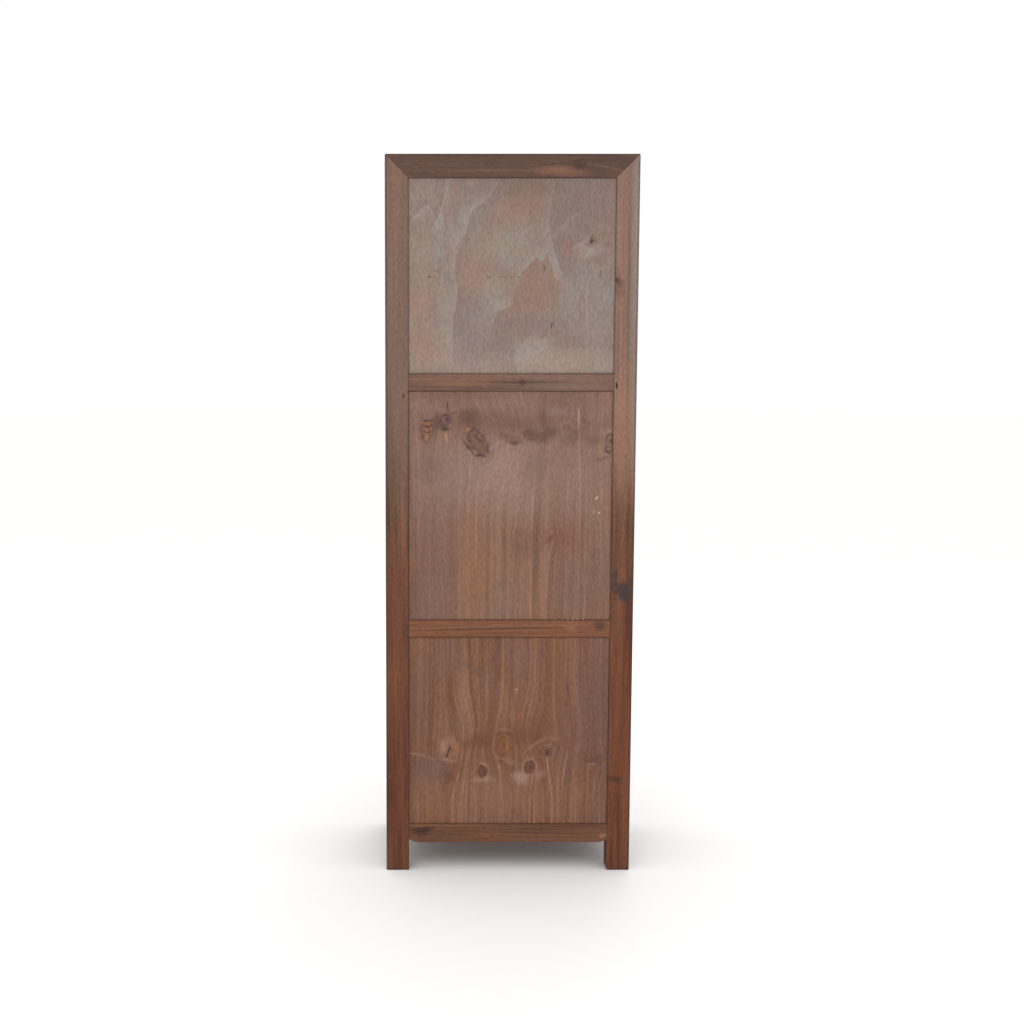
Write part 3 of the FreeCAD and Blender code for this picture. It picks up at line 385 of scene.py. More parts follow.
def oiled_elm(name, along, elm, pith_mm, seed, marks=(), top_sheen_amount=0.3):
    """Solid elm, planed by hand, stained brown and wiped with oil.

    Elm is ring-porous: coarse early pores make dark dashes, the late wood between them is
    paler, and the stain gathers in streaks along the grain.
    """
    material = new_material(name)
    tree = material.node_tree
    place = grain_place(tree, along)
    pale, brown, deep = tuple(elm.pale), tuple(elm.brown), tuple(elm.deep)
    broad = stretched_noise(tree, place, 26, 520, 3.0, 0.55, seed)
    narrow = stretched_noise(tree, place, 5.5, 190, 3.0, 0.6, seed + 7)
    fibre = stretched_noise(tree, place, 1.1, 34, 2.0, 0.6, seed + 3)
    blotch = stretched_noise(tree, place, 70, 160, 3.0, 0.6, seed + 11)
    rings = ring_lines(tree, place, elm.ring_width / MM, 26, pith_mm)
    share = add(tree, MATH, {0: broad, 1: 0.55}, operation="MULTIPLY")
    mixed = add(tree, MATH, {0: narrow, 1: 0.45, 2: share}, operation="MULTIPLY_ADD")
    colour = add(tree, RAMP, {0: mixed}, stops=[(0.385, deep), (0.5, brown), (0.615, pale)])
    strength = add(tree, SPREAD,
                   {"Value": broad, "From Min": 0.35, "From Max": 0.65, "To Min": 0.15, "To Max": 0.55})
    colour = paint(tree, colour, deep, strength, rings)
    pores = add(tree, SPREAD, {"Value": fibre, "From Min": 0.62, "From Max": 0.78})
    colour = paint(tree, colour, linear("#2E1C14"), 0.55, pores)
    # patches that drank more stain, and redder ones
    colour = paint_where(tree, colour, deep, 0.25, blotch, 0.56, 0.74)
    colour = paint_where(tree, colour, linear("#7C4A33"), 0.35, blotch, 0.46, 0.28)
    # painted sheen: the upper part gets a paler, greyer tone for the light that the oiled surface reflects
    # there
    colour = paint(tree, colour, tuple(elm.top_sheen_tone), top_sheen_amount, height_share(tree, 860, 1360))
    if marks:
        depth = add(tree, SPLIT, {0: add(tree, "ShaderNodeTexCoord").outputs["Object"]}).outputs[1]
        near_back = add(tree, SPREAD,
                        {"Value": depth, "From Min": BACK_FACE - 26 * MM, "From Max": BACK_FACE - 4 * MM},
                        interpolation_type="SMOOTHSTEP")
        colour = paint(tree, colour, paint_marks(tree, colour, marks), 1.0, near_back)
    # dark rim painted along the borders of every face: grime in the joints and painted shade along the
    # arrises
    edge_grime_and_shade = rim_band(tree, hidden_mm=0, width_mm=2.2, ragged_mm=2.0)
    colour = paint(tree, colour, linear("#3A2A22"), 0.55, edge_grime_and_shade)
    figure = add(tree, MATH, {0: rings, 1: 0.5, 2: narrow}, operation="MULTIPLY_ADD")
    relief = add(tree, MATH, {0: pores, 1: -0.7, 2: figure}, operation="MULTIPLY_ADD")
    return close_wood(material, place, colour, relief, (0.44, 0.62), depth_mm=0.35, specular=0.22)


def paint_streaks(tree, colour, across, streaks, calm_mm, seed):
    """Streaks down a board that follow the grain, come and go along it and are fainter high up.

    One curve over the board's width holds them all: above its middle it pales the wood and
    below it darkens it. The grain sways by up to 5 mm to each side.
    """
    sway_mm = 10
    reach_mm = max(abs(at) + half for at, half, change in streaks)
    spots = [(0.0, 0.5), (1.0, 0.5)]
    for at, half, change in streaks:
        for place, level in ((at - half, 0.5), (at, 0.5 + change / 2), (at + half, 0.5)):
            spots.append((place / (2 * reach_mm) + 0.5, level))
    grain = grain_place(tree, "Z")
    sway = stretched_noise(tree, grain, 50, 260, 2.0, 0.5, seed + 5)
    swayed = add(tree, MATH, {0: sway, 1: sway_mm * MM, 2: across}, operation="MULTIPLY_ADD")
    share = add(tree, SPREAD, {"Value": swayed, "From Min": (sway_mm / 2 - reach_mm) * MM,
                               "From Max": (sway_mm / 2 + reach_mm) * MM})
    line = add(tree, "ShaderNodeFloatCurve", {"Value": share}, curve=spots)
    coming = stretched_noise(tree, grain, 12, 150, 2.0, 0.6, seed)
    strength = add(tree, SPREAD, {"Value": coming, "From Min": 0.34, "From Max": 0.56})
    calmer = add(tree, SPREAD, {"Value": height_share(tree, *calm_mm), "To Min": 1.0, "To Max": 0.55})
    strength = add(tree, MATH, {0: strength, 1: calmer}, operation="MULTIPLY")
    for hex_tone, edge in (("#B08D73", 1.0), ("#5A4034", 0.0)):
        colour = paint_where(tree, colour, linear(hex_tone), 0.8, line, 0.5, edge, strength)
    return colour


def flow_round_knots(tree, swerves):
    """A coordinate across the back that swerves round each knot, as the lines of the grain do."""
    place = add(tree, "ShaderNodeTexCoord").outputs["Object"]
    across = add(tree, SPLIT, {0: place}).outputs[0]
    for centre_mm, size_mm, lean, part_mm, arch_mm in swerves:
        local = ellipse_place(tree, place, centre_mm, size_mm, lean)
        squared = add(tree, VECTOR, {0: local, 1: local}, operation="DOT_PRODUCT").outputs["Value"]
        falling = add(tree, MATH, {0: add(tree, MATH, {0: squared, 1: -1.0}, operation="MULTIPLY")},
                      operation="EXPONENT")
        side = add(tree, SPLIT, {0: local}).outputs[0]
        push = add(tree, MATH, {0: side, 1: -part_mm * MM, 2: arch_mm * MM}, operation="MULTIPLY_ADD")
        across = add(tree, MATH, {0: push, 1: falling, 2: across}, operation="MULTIPLY_ADD")
    return across


def knotty_board(name, base, swerves, knots, marks, scars, streaks, calm_mm, lines_mm, seed, fades):
    """Softwood board, plain sawn through a row of knots, stained thin and left unpolished.

    The stain sinks into the soft early wood and leaves the hard late wood as fine lines, and
    round each knot the lines swerve and close.
    """
    material = new_material(name)
    tree = material.node_tree
    place = grain_place(tree, "Z")
    across = flow_round_knots(tree, swerves)
    drift = stretched_noise(tree, place, 160, 900, 2.0, 0.5, seed)
    flowed = add(tree, MATH, {0: drift, 1: 0.05, 2: across}, operation="MULTIPLY_ADD")
    along = add(tree, SPLIT, {0: place}).outputs[2]
    slow = add(tree, MATH, {0: along, 1: 0.9}, operation="MULTIPLY")
    flow_place = add(tree, JOIN, {0: flowed, 1: slow, 2: seed})
    band_place = add(tree, VECTOR, {0: flow_place, 1: BANDS}, operation="MULTIPLY")
    bands = add(tree, NOISE, {"Vector": band_place, "Scale": 1.0, "Detail": 3.0, "Roughness": 0.6})
    thread_place = add(tree, VECTOR, {0: flow_place, 1: THREADS}, operation="MULTIPLY")
    threads = add(tree, NOISE, {"Vector": thread_place, "Scale": 1.0, "Detail": 2.0, "Roughness": 0.6})
    turns = add(tree, MATH, {0: flowed, 1: 1 / (lines_mm * MM)}, operation="MULTIPLY")
    lines = add(tree, RAMP, {0: add(tree, MATH, {0: turns}, operation="FRACT")},
                stops=[(0.0, 0.2), (0.55, 0.35), (0.86, 1.0), (1.0, 0.25)])
    fibre = stretched_noise(tree, place, 1.2, 40, 2.0, 0.6, seed + 3)
    cloud = stretched_noise(tree, place, 80, 130, 4.0, 0.6, seed + 9)
    dark = paint(tree, base, linear("#4E372C"), 0.3)
    light = paint(tree, base, linear("#B48F76"), 0.32)
    colour = add(tree, MIX, {"Fac": add(tree, SPREAD, {"Value": bands, "From Min": 0.3, "From Max": 0.7}),
                             "Color1": dark, "Color2": light})
    # dark and pale threads, and the darker lines of the late wood
    colour = paint_where(tree, colour, linear("#57392C"), 0.42, threads, 0.56, 0.72)
    colour = paint_where(tree, colour, linear("#BE997C"), 0.5, threads, 0.4, 0.24)
    colour = paint(tree, colour, linear("#5B4033"), 0.25, lines)
    # grey and warm clouds of stain, and dark fibres
    colour = paint_where(tree, colour, linear("#77605C"), 0.42, cloud, 0.48, 0.7)
    colour = paint_where(tree, colour, linear("#8A5C42"), 0.35, cloud, 0.47, 0.3)
    colour = paint_where(tree, colour, linear("#453029"), 0.25, fibre, 0.58, 0.8)
    for low_mm, high_mm, hex_tone, amount in fades:
        colour = paint(tree, colour, linear(hex_tone), amount, height_share(tree, low_mm, high_mm))
    colour = paint_streaks(tree, colour, across, streaks, calm_mm, seed + 21)
    colour = paint_marks(tree, colour, marks)
    colour = paint_knots(tree, colour, knots)
    colour = paint_marks(tree, colour, scars)
    # dark band painted where the board goes into the frame: dust and the painted shade of the joint
    rim_grime_and_shade = rim_band(tree, hidden_mm=7.5, width_mm=2.2, ragged_mm=1.2)
    colour = paint(tree, colour, linear(JOINT_GRIME_AND_SHADE), 0.7, rim_grime_and_shade)
    relief = add(tree, MATH, {0: threads, 1: 0.4, 2: fibre}, operation="MULTIPLY_ADD")
    return close_wood(material, place, colour, relief, (0.56, 0.7), depth_mm=0.22, specular=0.16)


def past_border(tree, value, points_mm, other):
    """How far a point lies past a line given point by point, whose own place is read from a curve."""
    start_mm, end_mm = points_mm[0][0], points_mm[-1][0]
    low_mm = min(height for at, height in points_mm) - 10
    high_mm = max(height for at, height in points_mm) + 10
    share = add(tree, SPREAD, {"Value": value, "From Min": start_mm * MM, "From Max": end_mm * MM})
    spots = [((at - start_mm) / (end_mm - start_mm), (height - low_mm) / (high_mm - low_mm))
             for at, height in points_mm]
    line = add(tree, "ShaderNodeFloatCurve", {"Value": share}, curve=[spots[0], spots[-1]] + spots[1:-1])
    level = add(tree, SPREAD, {"Value": line, "To Min": low_mm * MM, "To Max": high_mm * MM})
    return add(tree, MATH, {0: level, 1: other}, operation="SUBTRACT")


def rotary_board(name, base, borders, marks, seed):
    """Rotary-cut plywood face: one sheet peeled off the log, so the rings show as wide zones.

    Each ring crosses the sheet as one crisp pale line with a slow change of tone behind it.
    """
    material = new_material(name)
    tree = material.node_tree
    place = grain_place(tree, "Z")
    coordinates = add(tree, SPLIT, {0: add(tree, "ShaderNodeTexCoord").outputs["Object"]})
    across, upright = coordinates.outputs[0], coordinates.outputs[2]
    cloud = stretched_noise(tree, place, 100, 150, 4.0, 0.55, seed)
    small = stretched_noise(tree, place, 34, 60, 5.0, 0.62, seed + 5)
    threads = stretched_noise(tree, place, 4.2, 210, 3.0, 0.6, seed + 1)
    fibre = stretched_noise(tree, place, 1.6, 60, 2.0, 0.6, seed + 3)
    drips = stretched_noise(tree, place, 5, 55, 4.0, 0.65, seed + 8)
    bays = stretched_noise(tree, place, 30, 90, 2.0, 0.5, seed + 13)
    pink = paint(tree, base, linear("#947465"), 0.48)
    beige = paint(tree, base, linear("#948A82"), 0.52)
    colour = add(tree, MIX, {"Fac": add(tree, SPREAD, {"Value": cloud, "From Min": 0.4, "From Max": 0.6}),
                             "Color1": pink, "Color2": beige})
    # violet patches, and olive ones
    colour = paint_where(tree, colour, linear("#7A6A6A"), 0.5, small, 0.5, 0.68)
    colour = paint_where(tree, colour, linear("#84786B"), 0.42, small, 0.47, 0.3)
    for upwards, points_mm, side, crest, pale_mm, depth_mm, hex_tone, amount in borders:
        source, other = (across, upright) if upwards else (upright, across)
        past = past_border(tree, source, points_mm, other)
        # the line drips down the grain and swings in bays, more so where it runs across the grain
        step_mm, bay_mm = (20, 9) if upwards else (3, 7)
        past = add(tree, MATH, {0: drips, 1: step_mm * MM, 2: past}, operation="MULTIPLY_ADD")
        past = add(tree, MATH, {0: bays, 1: bay_mm * MM, 2: past}, operation="MULTIPLY_ADD")
        past = add(tree, MATH, {0: past, 1: (step_mm + bay_mm) / 2 * MM}, operation="SUBTRACT")
        past = add(tree, MATH, {0: past, 1: side}, operation="MULTIPLY")
        # it fades out over the last 24 mm at both ends
        start_mm, end_mm = points_mm[0][0], points_mm[-1][0]
        first, last = (add(tree, SPREAD, {"Value": source, "From Min": low_mm * MM, "From Max": high_mm * MM})
                       for low_mm, high_mm in ((start_mm, start_mm + 24), (end_mm, end_mm - 24)))
        within = add(tree, MATH, {0: first, 1: last}, operation="MULTIPLY")
        # paler towards the line, darker past it, and the crisp line itself
        pale = add(tree, SPREAD, {"Value": past, "From Min": -pale_mm * MM, "From Max": -0.5 * MM})
        behind = add(tree, SPREAD, {"Value": past, "From Min": 1.2 * MM, "From Max": -0.4 * MM})
        rising = add(tree, MATH, {0: pale, 1: 1.6}, operation="POWER")
        colour = paint(tree, colour, linear("#98908C"), 1.05 * crest, rising, behind, within)
        inside = add(tree, SPREAD, {"Value": past, "From Min": -0.5 * MM, "From Max": 2.5 * MM})
        fading = add(tree, SPREAD, {"Value": past, "From Min": depth_mm * MM, "From Max": 0.0})
        colour = paint(tree, colour, linear(hex_tone), amount, inside, fading, within)
        near = add(tree, SPREAD, {"Value": past, "From Min": -4 * MM, "From Max": 4 * MM})
        thin = add(tree, RAMP, {0: near}, stops=[(0.28, 0.0), (0.5, 1.0), (0.62, 0.0)])
        colour = paint(tree, colour, linear("#A29A94"), 0.9 * crest, thin, within)
    # dark threads and fibres
    colour = paint_where(tree, colour, linear("#6D5D4F"), 0.28, threads, 0.5, 0.74)
    colour = paint_where(tree, colour, linear("#66574E"), 0.18, fibre, 0.5, 0.8)
    colour = paint_marks(tree, colour, marks)
    # dark band painted where the board goes into the frame: dust and the painted shade of the joint
    rim_grime_and_shade = rim_band(tree, hidden_mm=7.5, width_mm=2.0, ragged_mm=1.2)
    colour = paint(tree, colour, linear("#453832"), 0.6, rim_grime_and_shade)
    relief = add(tree, MATH, {0: small, 1: 0.3, 2: fibre}, operation="MULTIPLY_ADD")
    return close_wood(material, place, colour, relief, (0.58, 0.72), depth_mm=0.16, specular=0.16)


def plain_board(name, along, base, dark, seed, hidden_mm=7.5, rough=(0.5, 0.66)):
    """Quiet softwood board: straight fine grain, thin stain, dust and painted shade in the corners."""
    material = new_material(name)
    tree = material.node_tree
    place = grain_place(tree, along)
    broad = stretched_noise(tree, place, 34, 600, 3.0, 0.55, seed)
    narrow = stretched_noise(tree, place, 5, 260, 3.0, 0.6, seed + 4)
    fibre = stretched_noise(tree, place, 1.1, 36, 2.0, 0.6, seed + 8)
    cloud = stretched_noise(tree, place, 110, 170, 4.0, 0.6, seed + 2)
    rings = ring_lines(tree, place, 5.2, 60, (40 + seed * 9, 260))
    share = add(tree, MATH, {0: broad, 1: 0.6}, operation="MULTIPLY")
    mixed = add(tree, MATH, {0: narrow, 1: 0.4, 2: share}, operation="MULTIPLY_ADD")
    colour = add(tree, RAMP, {0: mixed}, stops=[(0.37, dark), (0.62, base)])
    colour = paint(tree, colour, dark, 0.4, rings)
    colour = paint_where(tree, colour, linear("#3A281F"), 0.4, fibre, 0.6, 0.8)
    colour = paint_where(tree, colour, dark, 0.4, cloud, 0.5, 0.72)
    # dark band painted along the borders of each face: dust and painted shade in the corners and joints
    rim_grime_and_shade = rim_band(tree, hidden_mm, width_mm=6.0, ragged_mm=4.0)
    colour = paint(tree, colour, linear(JOINT_GRIME_AND_SHADE), 0.65, rim_grime_and_shade)
    relief = add(tree, MATH, {0: rings, 1: 0.4, 2: fibre}, operation="MULTIPLY_ADD")
    return close_wood(material, place, colour, relief, rough, depth_mm=0.22, specular=0.16)


def aged_brass(name, brass):
    """Hammered sheet and cast brass, unlacquered: brown film in the hollows, bright where handled."""
    material = new_material(name)
    tree = material.node_tree
    place = add(tree, "ShaderNodeTexCoord").outputs["Object"]
    film = add(tree, NOISE, {"Vector": place, "Scale": BRASS_FILM, "Detail": 4.0, "Roughness": 0.6})
    fine = add(tree, NOISE, {"Vector": place, "Scale": BRASS_GRIT, "Detail": 3.0})
    hammer = add(tree, "ShaderNodeTexVoronoi", {"Vector": place, "Scale": HAMMER_MARKS}, feature="SMOOTH_F1")
    share = add(tree, SPREAD, {"Value": film, "From Min": 0.3, "From Max": 0.7})
    colour = add(tree, MIX, {"Fac": share, "Color1": tuple(brass.metal), "Color2": tuple(brass.patina)})
    colour = paint_where(tree, colour, linear("#4A3A28"), 0.4, fine, 0.56, 0.74)
    rough = add(tree, SPREAD,
                {"Value": film, "From Min": 0.35, "From Max": 0.65, "To Min": 0.26, "To Max": 0.46})
    height = add(tree, MATH, {0: fine, 1: 0.2, 2: hammer}, operation="MULTIPLY_ADD")
    bump = add(tree, "ShaderNodeBump", {"Height": height, "Strength": 0.45, "Distance": 0.25 * MM})
    skin = add(tree, "ShaderNodeBsdfPrincipled",
               {"Base Color": colour, "Metallic": 1.0, "Roughness": rough, "Normal": bump})
    add(tree, "ShaderNodeOutputMaterial", {"Surface": skin})
    return material


def pin_brass(name, dull, bright):
    """Small brass pins: some heads are browned and some are pale."""
    material = new_material(name)
    tree = material.node_tree
    place = add(tree, "ShaderNodeTexCoord").outputs["Object"]
    film = add(tree, NOISE, {"Vector": place, "Scale": PIN_FILM, "Detail": 3.0})
    colour = add(tree, RAMP, {0: film}, stops=[(0.38, linear(dull)), (0.62, linear(bright))])
    rough = add(tree, SPREAD, {"Value": film, "To Min": 0.5, "To Max": 0.75})
    skin = add(tree, "ShaderNodeBsdfPrincipled", {"Base Color": colour, "Roughness": rough, "Metallic": 0.6})
    add(tree, "ShaderNodeOutputMaterial", {"Surface": skin})
    return material


def note_faces(mesh):
    """Writes on every corner how far it lies from the middle of its flat face, and half its size.

    Faces that look along one axis and lie at one level, to 0.1 mm, make up one flat face.
    """
    planes = {}
    for face in mesh.polygons:
        facing = max(range(3), key=lambda axis: abs(face.normal[axis]))
        axes = [axis for axis in range(3) if axis != facing]
        points = [mesh.vertices[index].co for index in face.vertices]
        level = round(sum(point[facing] for point in points) / len(points), 4)
        tilted = abs(face.normal[facing]) < 0.999
        key = (facing, face.index) if tilted else (facing, face.normal[facing] > 0, level)
        axes, lows, highs, faces = planes.setdefault(key, (axes, [math.inf] * 2, [-math.inf] * 2, []))
        for number, axis in enumerate(axes):
            lows[number] = min(lows[number], min(point[axis] for point in points))
            highs[number] = max(highs[number], max(point[axis] for point in points))
        faces.append(face)
    places = mesh.attributes.new("face_place", "FLOAT_VECTOR", "CORNER")
    halves = mesh.attributes.new("face_half", "FLOAT_VECTOR", "CORNER")
    for axes, lows, highs, faces in planes.values():
        middle = [(low + high) / 2 for low, high in zip(lows, highs)]
        half = [(high - low) / 2 for low, high in zip(lows, highs)]
        for face in faces:
            for corner in face.loop_indices:
                point = mesh.vertices[mesh.loops[corner].vertex_index].co
                places.data[corner].vector = (point[axes[0]] - middle[0], point[axes[1]] - middle[1], 0)
                halves.data[corner].vector = (half[0], half[1], 0)


def link_piece(name, mesh):
    """A new object at the origin."""
    piece = bpy.data.objects.new(name, mesh)
    bpy.context.scene.collection.objects.link(piece)
    return piece


def settle(piece):
    """Turns a piece with live modifiers into a plain mesh of its own."""
    graph = bpy.context.evaluated_depsgraph_get()
    mesh = bpy.data.meshes.new_from_object(piece.evaluated_get(graph))
    old = piece.data
    piece.modifiers.clear()
    piece.data = mesh
    if old.users == 0:
        bpy.data.meshes.remove(old)
    return piece


def place_on(piece, node):
    """The piece stands for the node, on its body."""
    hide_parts(node)
    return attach(piece, body_of(NODES[node])[0])


def soften(mesh):
    """Shades a mesh smooth, apart from its crisp edges."""
    mesh.shade_smooth()
    mesh.set_sharp_from_angle(angle=SHARP)


def round_feet(shape, wear):
    """Wears the lowest edges round, where a post has stood and been dragged."""
    lowest = min(vert.co.z for vert in shape.verts)
    edges = [edge for edge in shape.edges if all(vert.co.z < lowest + SAME_POINT for vert in edge.verts)]
    bmesh.ops.bevel(shape, geom=edges, offset=wear, segments=3, profile=0.5, affect="EDGES")


def waver(shape, depth):
    """Lets the underside of a rail waver in slow and quick waves, as a hand-held plane leaves it."""
    reach = max(vert.co.x for vert in shape.verts)
    step = 11 * MM
    slow_waves, quick_waves = 16, 60
    for number in range(1, int(2 * reach / step)):
        bmesh.ops.bisect_plane(shape, geom=[*shape.verts, *shape.edges, *shape.faces],
                               plane_co=(number * step - reach, 0, 0), plane_no=(1, 0, 0))
    under = {vert for face in shape.faces if face.normal.z < -0.5 for vert in face.verts}
    for vert in under:
        slow = noise.noise(Vector((vert.co.x * slow_waves, 0, 3.7)))
        quick = noise.noise(Vector((vert.co.x * quick_waves, 0, 9.1)))
        vert.co.z += depth * max(0, 0.5 + 0.7 * slow + 0.3 * quick)


def dress(node, finish, ease, inner=None, work=None, amount=0):
    """A planed copy of a CAD piece with softened arrises, in its finish, and another one inside."""
    mesh = NODES[node].data.copy()
    mesh.name = node + "_dressed"
    sewn = bmesh.new()
    sewn.from_mesh(mesh)
    bmesh.ops.remove_doubles(sewn, verts=sewn.verts, dist=SAME_POINT)
    bmesh.ops.dissolve_limit(sewn, angle_limit=FLAT, verts=sewn.verts, edges=sewn.edges)
    if work:
        work(sewn, amount)
    mesh.materials.clear()
    for coat in (finish, inner):
        if coat:
            mesh.materials.append(coat)
    sewn.normal_update()
    for face in sewn.faces:
        face.material_index = int(inner is not None and face.normal.y < -0.5)
    sewn.to_mesh(mesh)
    sewn.free()
    soften(mesh)
    piece = link_piece(node + "_dressed", mesh)
    bevel = piece.modifiers.new("arris", "BEVEL")
    bevel.width = ease
    bevel.segments = 2
    bevel.limit_method = "ANGLE"
    bevel.angle_limit = SHARP
    bevel.harden_normals = True
    settle(piece)
    note_faces(piece.data)
    return place_on(piece, node)


def dress_made(node, mesh):
    """A mesh made in Blender, as the piece that stands for a node."""
    return place_on(link_piece(node + "_dressed", mesh), node)


def turned(shape, profile_mm, centre, axis, sides):
    """Adds a turned form: its profile of radius and height pairs goes once round an axis."""
    along = Vector(axis)
    out = along.orthogonal().normalized()
    rings = []
    for radius_mm, height_mm in profile_mm:
        hub = centre + along * height_mm * MM
        turns = [math.tau * n / sides for n in range(sides if radius_mm else 1)]
        rings.append([shape.verts.new(hub + Matrix.Rotation(turn, 3, along) @ out * radius_mm * MM)
                      for turn in turns])
    for low, high in zip(rings, rings[1:]):
        for n in range(sides):
            corners = (ring[at % len(ring)]
                       for ring, at in ((low, n), (low, n + 1), (high, n + 1), (high, n)))
            shape.faces.new(dict.fromkeys(corners))


def join_rings(shape, rings):
    """Adds the faces between rings of as many points each."""
    for outer, inner in zip(rings, rings[1:]):
        for n in range(len(outer)):
            shape.faces.new((outer[n - 1], outer[n], inner[n], inner[n - 1]))


def bored_profile(bore_mm, radius_mm, half_mm):
    """The profile of a short bored cylinder whose outer edges are eased by half a millimetre."""
    ease_mm = 0.5
    return ((bore_mm, -half_mm), (radius_mm - ease_mm, -half_mm), (radius_mm, ease_mm - half_mm),
            (radius_mm, half_mm - ease_mm), (radius_mm - ease_mm, half_mm), (bore_mm, half_mm),
            (bore_mm, -half_mm))


def close_shape(shape, name, finish):
    """Merges what meets, turns the faces outwards and gives the mesh in its finish."""
    bmesh.ops.remove_doubles(shape, verts=shape.verts, dist=SAME_CAST_POINT)
    bmesh.ops.recalc_face_normals(shape, faces=shape.faces)
    mesh = bpy.data.meshes.new(name)
    shape.to_mesh(mesh)
    shape.free()
    mesh.materials.append(finish)
    soften(mesh)
    return mesh


def joined(name, meshes):
    """Several meshes of one finish as one."""
    whole = bmesh.new()
    for mesh in meshes:
        whole.from_mesh(mesh)
    result = bpy.data.meshes.new(name)
    whole.to_mesh(result)
    whole.free()
    result.materials.append(meshes[0].materials[0])
    for mesh in meshes:
        bpy.data.meshes.remove(mesh)
    return result


def new_growth(name, sizes):
    """A Geometry Nodes tree with a carrier mesh and named sizes going in and one geometry out."""
    tree = bpy.data.node_groups.new(name, "GeometryNodeTree")
    tree.interface.new_socket("Carrier", in_out="INPUT", socket_type="NodeSocketGeometry")
    for size in sizes:
        socket = tree.interface.new_socket(size, in_out="INPUT", socket_type="NodeSocketFloat")
        socket.subtype = "DISTANCE"
    tree.interface.new_socket("Growth", in_out="OUTPUT", socket_type="NodeSocketGeometry")
    return tree, add(tree, "NodeGroupInput").outputs


def end_growth(tree, geometry, finish):
    """Ends a tree: smooth, real and in its finish."""
    smooth = add(tree, "GeometryNodeSetShadeSmooth", {"Geometry": geometry})
    real = add(tree, "GeometryNodeRealizeInstances", {0: smooth})
    coated = add(tree, "GeometryNodeSetMaterial", {"Geometry": real, "Material": finish})
    add(tree, "NodeGroupOutput", {"Growth": coated})
    return tree


# how finely rods and pin heads are cut: round them, along a bend and down a head
ROD_SIDES = 20
BEND_STEPS = 7
HEAD_SIDES = 14
HEAD_STEPS = 8


def bent_rod(finish):
    """Geometry Nodes: a round rod along each line of the carrier, bent by as much as its points say."""
    tree, given = new_growth("bent_rod", ("Rod Radius",))
    line = add(tree, "GeometryNodeMeshToCurve", {0: given["Carrier"]})
    bends = add(tree, "GeometryNodeInputNamedAttribute", {"Name": "bend"}, data_type="FLOAT")
    rounded = add(tree, "GeometryNodeFilletCurve",
                  {"Curve": line, "Count": BEND_STEPS, "Radius": bends.outputs["Attribute"]}, mode="POLY")
    ring = add(tree, "GeometryNodeCurvePrimitiveCircle",
               {"Resolution": ROD_SIDES, "Radius": given["Rod Radius"]})
    rod = add(tree, "GeometryNodeCurveToMesh", {"Curve": rounded, "Profile Curve": ring, "Fill Caps": True})
    return end_growth(tree, rod, finish)


def domed_heads(finish):
    """Geometry Nodes: a low domed head on every point of the carrier, facing front or back."""
    tree, given = new_growth("domed_heads", ("Head Radius", "Head Height"))
    ball = add(tree, "GeometryNodeMeshUVSphere",
               {"Segments": HEAD_SIDES, "Rings": HEAD_STEPS, "Radius": 1.0})
    size = add(tree, JOIN, {0: given["Head Radius"], 1: given["Head Height"], 2: given["Head Radius"]})
    heads = add(tree, "GeometryNodeInstanceOnPoints",
                {"Points": given["Carrier"], "Instance": ball, "Scale": size})
    return end_growth(tree, heads, finish)


def grow(carrier, tree, sizes):
    """Runs a Geometry Nodes tree over a carrier mesh and gives the plain mesh."""
    holder = link_piece(carrier.name, carrier)
    growth = holder.modifiers.new(tree.name, "NODES")
    growth.node_group = tree
    for item in tree.interface.items_tree:
        if item.in_out == "INPUT" and item.name in sizes:
            growth[item.identifier] = sizes[item.name]
    mesh = settle(holder).data
    bpy.data.objects.remove(holder)
    return mesh


def carrier_mesh(name, points, edges=(), bends=()):
    """Points and lines for a tree to work on, with how round the line bends at each point."""
    mesh = bpy.data.meshes.new(name)
    mesh.from_pydata([tuple(point) for point in points], edges, ())
    if bends:
        mesh.attributes.new("bend", "FLOAT", "POINT").data.foreach_set("value", bends)
    return mesh


def rod_through(name, points, bends, rod, radius):
    """A plain mesh of a round rod through some points, bent by so much at each of them."""
    lines = [(number, number + 1) for number in range(len(points) - 1)]
    return grow(carrier_mesh(name, points, lines, bends), rod, {"Rod Radius": radius})


